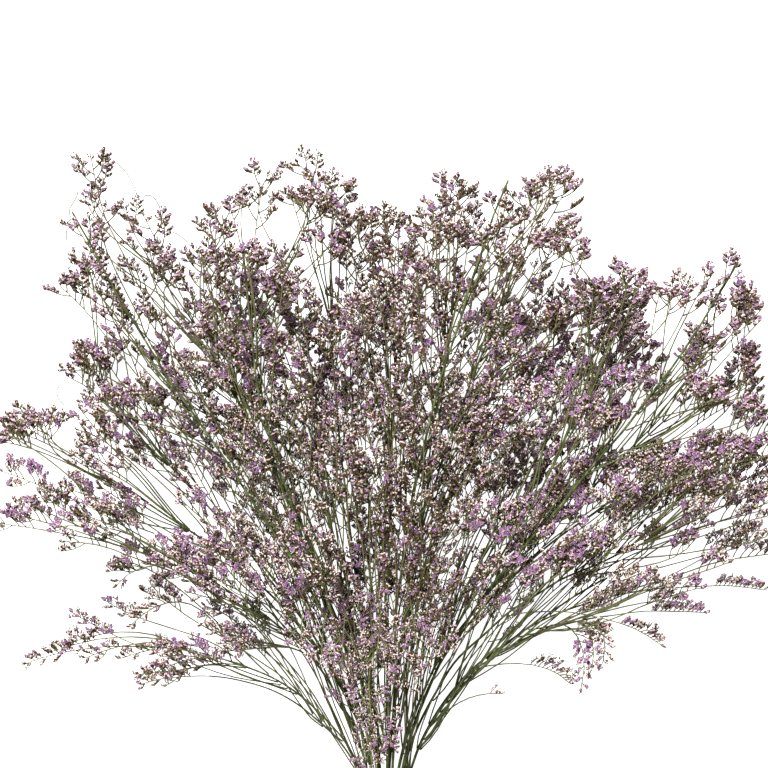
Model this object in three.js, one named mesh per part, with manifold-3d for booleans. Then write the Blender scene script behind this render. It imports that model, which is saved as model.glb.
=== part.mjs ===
// A bunch of dried statice (sea lavender), lying on its side on a flat surface.
// Millimetres, +Z up. The bunch points along +Y, its cut ends are at -Y, and it rests on Z = 0.
// The origin is under the middle of the bunch, on the surface.
import * as THREE from "three";
import { mergeVertices } from "three/addons/utils/BufferGeometryUtils.js";
import Module from "manifold-3d";

const wasm = await Module();
wasm.setup();

// ---- driving dimensions ----
const CUT_END_Y = -376; // the cut ends of the stems
const BAND_Y = -304; // middle of the elastic band that holds the stems
const BAND_X = 3;
const BAND_WIDTH = 9;
const BAND_WALL = 1.8;
const COLUMNS = 7; // the stems pass the band in rows of seven, three rows deep
const SLOT_PITCH = { x: 4.1, z: 3.7 };
const CUT_END_SPLAY = 1.3; // how far the slots have spread at the cut ends
const THICKEST_STEM = 1.6; // radius
const BAND_CLEARANCE = { x: 2.3, z: 0.5 }; // its ends are round and the rows' are square
const BAND_END_STEPS = 5; // flats in a quarter of the band's round end
const STRAIGHT_PAST_BAND = 1.5;
const GAP = 0.35; // clearance where one piece meets the next
const STEM_TAPER = 0.5; // radius at the top of a stem, as a share of that at its cut end
const STEM_SHARE = 0.8; // how much of an axis is stem, before its top spray takes over
const STEM_RINGS = 15;
const STEM_SIDES = 5;
const BELOW_BAND = 2 / (STEM_RINGS - 1); // the share of a stem's rings that lies below the band
const UPRIGHT = { level: 0.42, upright: 0.34 }; // how long a stem keeps upright, as a share of its reach
const EARLY_RISE = 0.12; // the share of a stem's rise that comes in its upright stretch
const TIP_SWEEP = 0.42; // how long a stem heads the way its tip leans, as a share of its reach
const SIDE_SWEEP = { along: 0.3, outward: 0.12, tip: 0.3 }; // the same for a side spray, at foot and tip
const SPRAY_RADIUS = 0.8;
const SPRAY_SIDES = 4;
const TOP_BARE = 0.05; // the share of a top spray's axis below its first twig
const SIDE_BARE = 0.5; // the same for a side spray
const LONG_BARE = 0.3; // a bare stretch over this share has two more rings
const TWIG_RADIUS = 0.5;
const HEAD_RADIUS = 9; // half the width of a twig's flower head
const TWIG_LENGTH = 58; // the lowest twig of a spray, with its flower head
const TWIG_ANGLE = 42; // between a twig and its spray's axis, in degrees
const TWIG_BEND = { sideways: 0.6, forward: 0.35 };
const LAST_TWIG = { place: 0.96, length: 0.5, head: 0.75 }; // length and head as shares of the first twig's
const HEAD_PROFILE = { start: 0.5, widest: 0.84, tip: 0.6 }; // places on the twig, and the tip's width
const TWIGS = 5;
const FLATTENING = 0.6; // the lying bunch is pressed flatter than it is wide
const GOLDEN_ANGLE = 137.508;
const ROLL_STEP = 40; // a twig that would touch another piece turns aside by this much
const ROLL_TRIES = 9;
const MERGE_DISTANCE = 1e-4;

const BAND_INNER = {
  x: ((COLUMNS - 1) / 2) * SLOT_PITCH.x + THICKEST_STEM + BAND_CLEARANCE.x,
  z: SLOT_PITCH.z + THICKEST_STEM + BAND_CLEARANCE.z,
};
const BAND_Z = BAND_INNER.z + BAND_WALL; // the band lies on the surface
const FOOT_Y = BAND_Y + BAND_WIDTH / 2 + STRAIGHT_PAST_BAND; // the stems are straight up to here

// Each stem: the tip of its axis, how far the tip leans from +Y towards +X in degrees, its radius,
// its slot in the band (column from the left, row from the surface), and whether it ends in a bare cut stub.
const STEMS = [
  { tip: [-341, -117, 60], lean: -108, radius: 1.2, slot: [0, 1] },
  { tip: [-234, -141, 16], lean: -106, radius: 1.1, slot: [0, 0] },
  { tip: [-376, 21, 118], lean: -84, radius: 1.3, slot: [0, 2] },
  { tip: [-365, 124, 76], lean: -58, radius: 1.5, slot: [1, 1] },
  { tip: [-298, 188, 24], lean: -34, radius: 1.4, slot: [1, 0] },
  { tip: [-291, 312, 140], lean: -26, radius: 1.5, slot: [1, 2], stub: true },
  { tip: [-235, 325, 84], lean: -24, radius: 1.3, slot: [2, 1] },
  { tip: [-112, 346, 150], lean: 12, radius: 1.4, slot: [2, 2] },
  { tip: [-44, 362, 26], lean: 6, radius: 1.5, slot: [2, 0] },
  { tip: [15, 320, 28], lean: 2, radius: 1.3, slot: [3, 0] },
  { tip: [73, 354, 92], lean: 2, radius: 1.6, slot: [3, 1] },
  { tip: [114, 341, 158], lean: 20, radius: 1.6, slot: [3, 2], stub: true },
  { tip: [186, 360, 90], lean: 30, radius: 1.5, slot: [4, 1] },
  { tip: [232, 266, 150], lean: 12, radius: 1.3, slot: [4, 2] },
  { tip: [371, 221, 34], lean: 40, radius: 1.4, slot: [4, 0] },
  { tip: [329, 264, 146], lean: 28, radius: 1.6, slot: [5, 2], stub: true },
  { tip: [378, 126, 24], lean: 62, radius: 1.4, slot: [5, 0] },
  { tip: [380, 34, 88], lean: 78, radius: 1.4, slot: [5, 1] },
  { tip: [300, -66, 104], lean: 96, radius: 1.2, slot: [6, 2] },
  { tip: [368, -48, 20], lean: 96, radius: 1.2, slot: [6, 0] },
];

// Each side spray: the stem it grows from (counted from 1), where along that stem's axis it leaves,
// and the place and lean of its tip.
const SIDE_SPRAYS = [
  { stem: 1, from: 0.45, tip: [-298, -70, 62], lean: -60 },
  { stem: 2, from: 0.42, tip: [-142, -62, 30], lean: -46 },
  { stem: 3, from: 0.4, tip: [-210, -20, 112], lean: -70 },
  { stem: 4, from: 0.45, tip: [-362, 66, 76], lean: -72 },
  { stem: 5, from: 0.35, tip: [-150, 108, 30], lean: -30 },
  { stem: 6, from: 0.62, tip: [-273, 366, 138], lean: -4 },
  { stem: 6, from: 0.55, tip: [-306, 246, 138], lean: -46 },
  { stem: 7, from: 0.42, tip: [-150, 190, 88], lean: -10 },
  { stem: 8, from: 0.28, tip: [-82, -30, 104], lean: -44 },
  { stem: 9, from: 0.36, tip: [-88, 132, 26], lean: -30 },
  { stem: 8, from: 0.22, tip: [-6, -200, 112], lean: 178 },
  { stem: 10, from: 0.3, tip: [62, -46, 34], lean: 44 },
  { stem: 12, from: 0.34, tip: [34, 118, 150], lean: -10 },
  { stem: 12, from: 0.7, tip: [170, 290, 150], lean: 40 },
  { stem: 13, from: 0.36, tip: [120, 98, 84], lean: 34 },
  { stem: 14, from: 0.28, tip: [130, -20, 108], lean: 54 },
  { stem: 15, from: 0.5, tip: [260, 190, 30], lean: 24 },
  { stem: 16, from: 0.72, tip: [286, 250, 142], lean: 4 },
  { stem: 16, from: 0.78, tip: [350, 236, 140], lean: 42 },
  { stem: 17, from: 0.42, tip: [228, 82, 24], lean: 40 },
  { stem: 18, from: 0.5, tip: [262, -96, 84], lean: 128 },
  { stem: 20, from: 0.4, tip: [177, -138, 20], lean: 138 },
];

const STEM_FINISH = { color: 0x5d6842, roughness: 0.75, metalness: 0 };
const FLOWER_FINISH = { color: 0x9a8494, roughness: 0.9, metalness: 0 };
const BAND_FINISH = { color: 0xc2a06a, roughness: 0.6, metalness: 0 };

const radians = THREE.MathUtils.degToRad;
const between = THREE.MathUtils.lerp;
const vector = (x, y, z) => new THREE.Vector3(x, y, z);

// The direction that leans this far from +Y towards +X, level with the surface.
const leaning = (degrees) => vector(Math.sin(radians(degrees)), Math.cos(radians(degrees)), 0);

// ---- axes ----

// Where a stem passes the band, as an offset from the middle of the band.
function slotOffset([column, row]) {
  return vector((column - (COLUMNS - 1) / 2) * SLOT_PITCH.x, 0, (row - 1) * SLOT_PITCH.z);
}

// A stem's axis above the band: it leaves the band upright and bends out to its tip.
function stemAxis(stem) {
  const foot = vector(BAND_X, FOOT_Y, BAND_Z).add(slotOffset(stem.slot));
  const tip = vector(...stem.tip);
  const reach = foot.distanceTo(tip);
  const rise = tip.z - foot.z;
  const upright = between(UPRIGHT.upright, UPRIGHT.level, Math.min(Math.abs(stem.lean) / 90, 1));
  const first = vector(foot.x, foot.y + upright * reach, foot.z + EARLY_RISE * rise);
  const last = tip.clone().addScaledVector(leaning(stem.lean), -TIP_SWEEP * reach);
  last.z = foot.z + rise;
  return new THREE.CubicBezierCurve3(foot, first, last, tip);
}

// The part of a curve between two places on it, as a curve of its own.
class Stretch extends THREE.Curve {
  constructor(whole, start, end) {
    super();
    Object.assign(this, { whole, start, end });
  }
  getPoint(at, target = new THREE.Vector3()) {
    return this.whole.getPoint(between(this.start, this.end, at), target);
  }
}

// A stem's whole route: straight from its cut end to the band, then up its axis.
class StemRoute extends THREE.Curve {
  constructor(cutEnd, axis, top) {
    super();
    Object.assign(this, { cutEnd, axis, top });
  }
  getPoint(at, target = new THREE.Vector3()) {
    if (at < BELOW_BAND) return target.lerpVectors(this.cutEnd, this.axis.getPoint(0), at / BELOW_BAND);
    return this.axis.getPoint((this.top * (at - BELOW_BAND)) / (1 - BELOW_BAND), target);
  }
}

// Directions across a curve, level and upward, at a place on it.
function across(curve, at) {
  const along = curve.getTangent(at);
  const side = along.clone().cross(vector(0, 0, 1)).normalize();
  return { along, side, up: side.clone().cross(along) };
}

// A side spray's axis: it leaves the stem's surface and bends to its tip.
function sprayAxis(spray, axis, stemRadius) {
  const { along, side, up } = across(axis, spray.from);
  const centre = axis.getPoint(spray.from);
  const tip = vector(...spray.tip);
  const away = tip.clone().sub(centre);
  const outward = side.multiplyScalar(away.dot(side)).add(up.multiplyScalar(away.dot(up)));
  outward.normalize();
  const foot = centre.addScaledVector(outward, stemRadius + GAP + SPRAY_RADIUS);
  const reach = foot.distanceTo(tip);
  const first = foot.clone().addScaledVector(along, SIDE_SWEEP.along * reach);
  first.addScaledVector(outward, SIDE_SWEEP.outward * reach);
  const last = tip.clone().addScaledVector(leaning(spray.lean), -SIDE_SWEEP.tip * reach);
  return new THREE.CubicBezierCurve3(foot, first, last, tip);
}

// ---- solids ----

// A mesh geometry as a manifold-3d solid.
function solid(geometry) {
  geometry.deleteAttribute("normal");
  geometry.deleteAttribute("uv");
  const merged = mergeVertices(geometry, MERGE_DISTANCE);
  return new wasm.Manifold(
    new wasm.Mesh({
      numProp: 3,
      vertProperties: merged.attributes.position.array,
      triVerts: new Uint32Array(merged.index.array),
    }),
  );
}

// A manifold-3d solid as a mesh geometry.
function geometryOf(body) {
  const { vertProperties, triVerts } = body.getMesh();
  const geometry = new THREE.BufferGeometry();
  geometry.setAttribute("position", new THREE.BufferAttribute(new Float32Array(vertProperties), 3));
  geometry.setIndex(new THREE.BufferAttribute(new Uint32Array(triVerts), 1));
  return geometry.toNonIndexed();
}

// A turned body that is bent along a curve. rings holds [place on the curve, radius] from end to end.
// What would reach under the surface is pressed flat on it.
function turnedAlong(curve, rings, sides) {
  const start = new THREE.Vector2(0, rings[0][0]);
  const end = new THREE.Vector2(0, rings.at(-1)[0]);
  const outline = [start, ...rings.map(([at, radius]) => new THREE.Vector2(radius, at)), end];
  const body = new THREE.LatheGeometry(outline, sides);
  const places = body.attributes.position;
  for (let i = 0; i < places.count; i += 1) {
    const { side, up } = across(curve, places.getY(i));
    const place = curve.getPoint(places.getY(i));
    place.addScaledVector(side, places.getX(i)).addScaledVector(up, places.getZ(i));
    places.setXYZ(i, place.x, place.y, Math.max(place.z, 0));
  }
  return solid(body);
}

// Rings with a radius that narrows from one end of a curve to the other.
const narrowingAt = (places, first, last) => places.map((at) => [at, between(first, last, at)]);
const evenly = (count, start, end) =>
  Array.from({ length: count }, (_, i) => between(start, end, i / (count - 1)));

// ---- pieces ----

// A stem from its cut end, through its slot in the band, up its axis.
function stemSolid(stem, axis) {
  const offset = slotOffset(stem.slot);
  const foot = axis.getPoint(0);
  const cutEnd = foot.clone().addScaledVector(offset, CUT_END_SPLAY - 1);
  cutEnd.y = CUT_END_Y;
  const route = new StemRoute(cutEnd, axis, stem.stub ? 1 : STEM_SHARE);
  const rings = narrowingAt(evenly(STEM_RINGS, 0, 1), stem.radius, STEM_TAPER * stem.radius);
  return turnedAlong(route, rings, STEM_SIDES);
}

// The twig of a spray that leaves its axis at this place, turned this far round it.
function twigSolid(axis, at, share, roll) {
  const { along, side, up } = across(axis, at);
  const foot = axis.getPoint(at);
  const outward = side.multiplyScalar(Math.cos(radians(roll)));
  outward.addScaledVector(up, FLATTENING * Math.sin(radians(roll))).normalize();
  const length = TWIG_LENGTH * between(1, LAST_TWIG.length, share);
  const sideways = length * Math.sin(radians(TWIG_ANGLE));
  const forward = length * Math.cos(radians(TWIG_ANGLE));
  const bend = foot.clone().addScaledVector(outward, TWIG_BEND.sideways * sideways);
  bend.addScaledVector(along, TWIG_BEND.forward * forward);
  const tip = foot.clone().addScaledVector(outward, sideways).addScaledVector(along, forward);
  bend.z = Math.max(bend.z, TWIG_RADIUS);
  tip.z = Math.max(tip.z, HEAD_RADIUS / 2);
  const head = HEAD_RADIUS * between(1, LAST_TWIG.head, share);
  const rings = [
    [0, TWIG_RADIUS],
    [HEAD_PROFILE.start, TWIG_RADIUS],
    [HEAD_PROFILE.widest, head],
    [1, HEAD_PROFILE.tip * head],
  ];
  return turnedAlong(new THREE.QuadraticBezierCurve3(foot, bend, tip), rings, SPRAY_SIDES);
}

const touches = (body, other) => body.intersect(other).volume() > 0;

// The places on a spray's axis where its twigs grow, from the end of its bare stretch to near its tip.
const twigPlaces = (bare) => evenly(TWIGS, bare, LAST_TWIG.place);

// A spray's axis alone, with a ring wherever a twig grows.
function spraySpine(axis, bare) {
  const bareRings = bare > LONG_BARE ? 4 : 2;
  const places = [...evenly(bareRings, 0, bare), ...twigPlaces(bare).slice(1), 1];
  return turnedAlong(axis, narrowingAt(places, SPRAY_RADIUS, TWIG_RADIUS), SPRAY_SIDES);
}

// A spray: its spine and the twigs with their flower heads, clear of everything that is placed.
function spraySolid(axis, bare, phase, placed) {
  let body = spraySpine(axis, bare);
  for (let i = 0; i < TWIGS; i += 1) {
    const share = i / (TWIGS - 1);
    const at = twigPlaces(bare)[i];
    for (let turn = 0; turn < ROLL_TRIES; turn += 1) {
      const twig = twigSolid(axis, at, share, phase + i * GOLDEN_ANGLE + turn * ROLL_STEP);
      if (placed.some((other) => touches(twig, other))) continue;
      body = body.add(twig);
      break;
    }
  }
  return body;
}

// The elastic band: a flattened ring round all the stems.
function bandSolid() {
  const outline = (x, z, shape) => {
    shape.moveTo(x - z, z);
    shape.absarc(-(x - z), 0, z, Math.PI / 2, 1.5 * Math.PI, false);
    shape.absarc(x - z, 0, z, -Math.PI / 2, Math.PI / 2, false);
    return shape;
  };
  const ring = outline(BAND_INNER.x + BAND_WALL, BAND_INNER.z + BAND_WALL, new THREE.Shape());
  ring.holes.push(outline(BAND_INNER.x, BAND_INNER.z, new THREE.Path()));
  const body = new THREE.ExtrudeGeometry(ring, {
    depth: BAND_WIDTH,
    bevelEnabled: false,
    curveSegments: BAND_END_STEPS,
  });
  body.rotateX(Math.PI / 2).translate(BAND_X, BAND_Y + BAND_WIDTH / 2, BAND_Z);
  return solid(body);
}

// ---- the bunch ----

const bunch = new THREE.Group();
const twoDigits = (number) => String(number).padStart(2, "0");

function addPiece(name, body, finish) {
  const mesh = new THREE.Mesh(geometryOf(body), new THREE.MeshStandardMaterial(finish));
  mesh.name = name;
  bunch.add(mesh);
}

const axes = STEMS.map(stemAxis);
const stems = STEMS.map((stem, i) => stemSolid(stem, axes[i]));

const sprays = [];
STEMS.forEach((stem, i) => {
  if (stem.stub) return;
  const start = STEM_SHARE + GAP / axes[i].getLength();
  const axis = new Stretch(axes[i], start, 1);
  sprays.push({ name: `spray_${twoDigits(i + 1)}_top`, axis, bare: TOP_BARE });
});
SIDE_SPRAYS.forEach((spray, i) => {
  const letter = "ab"[SIDE_SPRAYS.slice(0, i).filter((other) => other.stem === spray.stem).length];
  const stem = STEMS[spray.stem - 1];
  const radius = stem.radius * between(1, STEM_TAPER, spray.from);
  const axis = sprayAxis(spray, axes[spray.stem - 1], radius);
  sprays.push({ name: `spray_${twoDigits(spray.stem)}_${letter}`, axis, bare: SIDE_BARE });
});

stems.forEach((body, i) => addPiece(`stem_${twoDigits(i + 1)}`, body, STEM_FINISH));
addPiece("elastic_band", bandSolid(), BAND_FINISH);

const placed = [...stems];
const spines = sprays.map(({ axis, bare }) => spraySpine(axis, bare));
sprays.forEach(({ name, axis, bare }, i) => {
  const others = [...placed, ...spines.slice(i + 1)];
  const body = spraySolid(axis, bare, i * GOLDEN_ANGLE, others);
  placed.push(body);
  addPiece(name, body, FLOWER_FINISH);
});

export default bunch;
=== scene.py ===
import math
import random
import bpy
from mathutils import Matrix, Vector, noise


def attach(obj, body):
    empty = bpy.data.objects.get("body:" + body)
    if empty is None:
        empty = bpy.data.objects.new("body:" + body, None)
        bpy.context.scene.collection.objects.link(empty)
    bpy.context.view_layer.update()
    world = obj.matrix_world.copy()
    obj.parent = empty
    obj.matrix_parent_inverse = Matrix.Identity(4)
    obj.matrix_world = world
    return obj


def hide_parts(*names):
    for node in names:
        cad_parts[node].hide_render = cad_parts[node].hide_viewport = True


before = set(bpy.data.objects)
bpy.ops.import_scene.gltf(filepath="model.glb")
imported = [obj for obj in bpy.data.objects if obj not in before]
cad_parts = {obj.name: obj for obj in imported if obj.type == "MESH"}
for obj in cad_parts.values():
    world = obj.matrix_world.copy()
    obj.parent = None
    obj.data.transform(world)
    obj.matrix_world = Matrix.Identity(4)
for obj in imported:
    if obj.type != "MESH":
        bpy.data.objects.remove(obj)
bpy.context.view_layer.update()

# A bunch of dried statice (sea lavender) that lies on its side, in metres on the outside and
# in millimetres in the tables and the growing rules below. It grew along +Y.
MM = 0.001
UP = Vector((0, 0, 1))
TOPWARD = Vector((0, 1, 0))
CAMERA_DISTANCE, MIDDLE_HEIGHT, VIEW_Y, VIEW_WIDTH = 3000, 90, 150.6, 729.6
SENSOR_WIDTH = 36

# ---- the stems and sprays, with the CAD model's own values ----
CUT_END_Y = -376
BAND_X, BAND_Y, BAND_WIDTH, BAND_WALL = 3, -304, 9, 1.8
COLUMNS, SLOT_PITCH_X, SLOT_PITCH_Z, CUT_END_SPLAY = 7, 4.1, 3.7, 1.3
THICKEST_STEM = 1.6
BAND_INNER_X = (COLUMNS - 1) / 2 * SLOT_PITCH_X + THICKEST_STEM + 2.3
BAND_INNER_Z = SLOT_PITCH_Z + THICKEST_STEM + 0.5
BAND_Z = BAND_INNER_Z + BAND_WALL
FOOT_Y = BAND_Y + BAND_WIDTH / 2 + 1.5
GAP = 0.35
STEM_TAPER = 0.62
STEM_SHARE = 0.8
SPRAY_RADIUS = 0.8
# how far a stem's bends reach, as shares of its length: upright above the band, then towards its tip
UPRIGHT, UPRIGHT_OF_LEANING, FOOT_RISE, TIP_PULL = 0.34, 0.42, 0.12, 0.42
SIDE_PULL, SIDE_OUTWARD = 0.3, 0.12

# tip of the axis, lean of the tip from +Y towards +X, radius, slot in the band, bare cut stub or not
STEMS = [
    ((-341, -117, 60), -108, 1.2, (0, 1), False), ((-234, -141, 16), -106, 1.1, (0, 0), False),
    ((-376, 21, 118), -84, 1.3, (0, 2), False), ((-365, 124, 76), -58, 1.5, (1, 1), False),
    ((-298, 188, 24), -34, 1.4, (1, 0), False), ((-291, 312, 140), -26, 1.5, (1, 2), True),
    ((-235, 325, 84), -24, 1.3, (2, 1), False), ((-112, 346, 150), 12, 1.4, (2, 2), False),
    ((-44, 362, 26), 6, 1.5, (2, 0), False), ((15, 320, 28), 2, 1.3, (3, 0), False),
    ((73, 354, 92), 2, 1.6, (3, 1), False), ((114, 341, 158), 20, 1.6, (3, 2), True),
    ((186, 360, 90), 30, 1.5, (4, 1), False), ((232, 266, 150), 12, 1.3, (4, 2), False),
    ((371, 221, 34), 40, 1.4, (4, 0), False), ((329, 264, 146), 28, 1.6, (5, 2), True),
    ((378, 126, 24), 62, 1.4, (5, 0), False), ((380, 34, 88), 78, 1.4, (5, 1), False),
    ((300, -66, 104), 96, 1.2, (6, 2), False), ((368, -48, 20), 96, 1.2, (6, 0), False),
]

# stem, where it leaves that stem, tip, lean of the tip
SIDE_SPRAYS = [
    (1, 0.45, (-298, -70, 62), -60), (2, 0.42, (-142, -62, 30), -46),
    (3, 0.4, (-210, -20, 112), -70), (4, 0.45, (-362, 66, 76), -72),
    (5, 0.35, (-150, 108, 30), -30), (6, 0.62, (-273, 366, 138), -4),
    (6, 0.55, (-306, 246, 138), -46), (7, 0.42, (-150, 190, 88), -10),
    (8, 0.28, (-82, -30, 104), -44), (9, 0.36, (-88, 132, 26), -30),
    (8, 0.22, (-6, -200, 112), 178), (10, 0.3, (62, -46, 34), 44),
    (12, 0.34, (34, 118, 150), -10), (12, 0.7, (170, 290, 150), 40),
    (13, 0.36, (120, 98, 84), 34), (14, 0.28, (130, -20, 108), 54),
    (15, 0.5, (260, 190, 30), 24), (16, 0.72, (286, 250, 142), 4),
    (16, 0.78, (350, 236, 140), 42), (17, 0.42, (228, 82, 24), 40),
    (18, 0.5, (262, -96, 84), 128), (20, 0.4, (177, -138, 20), 138),
]

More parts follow.
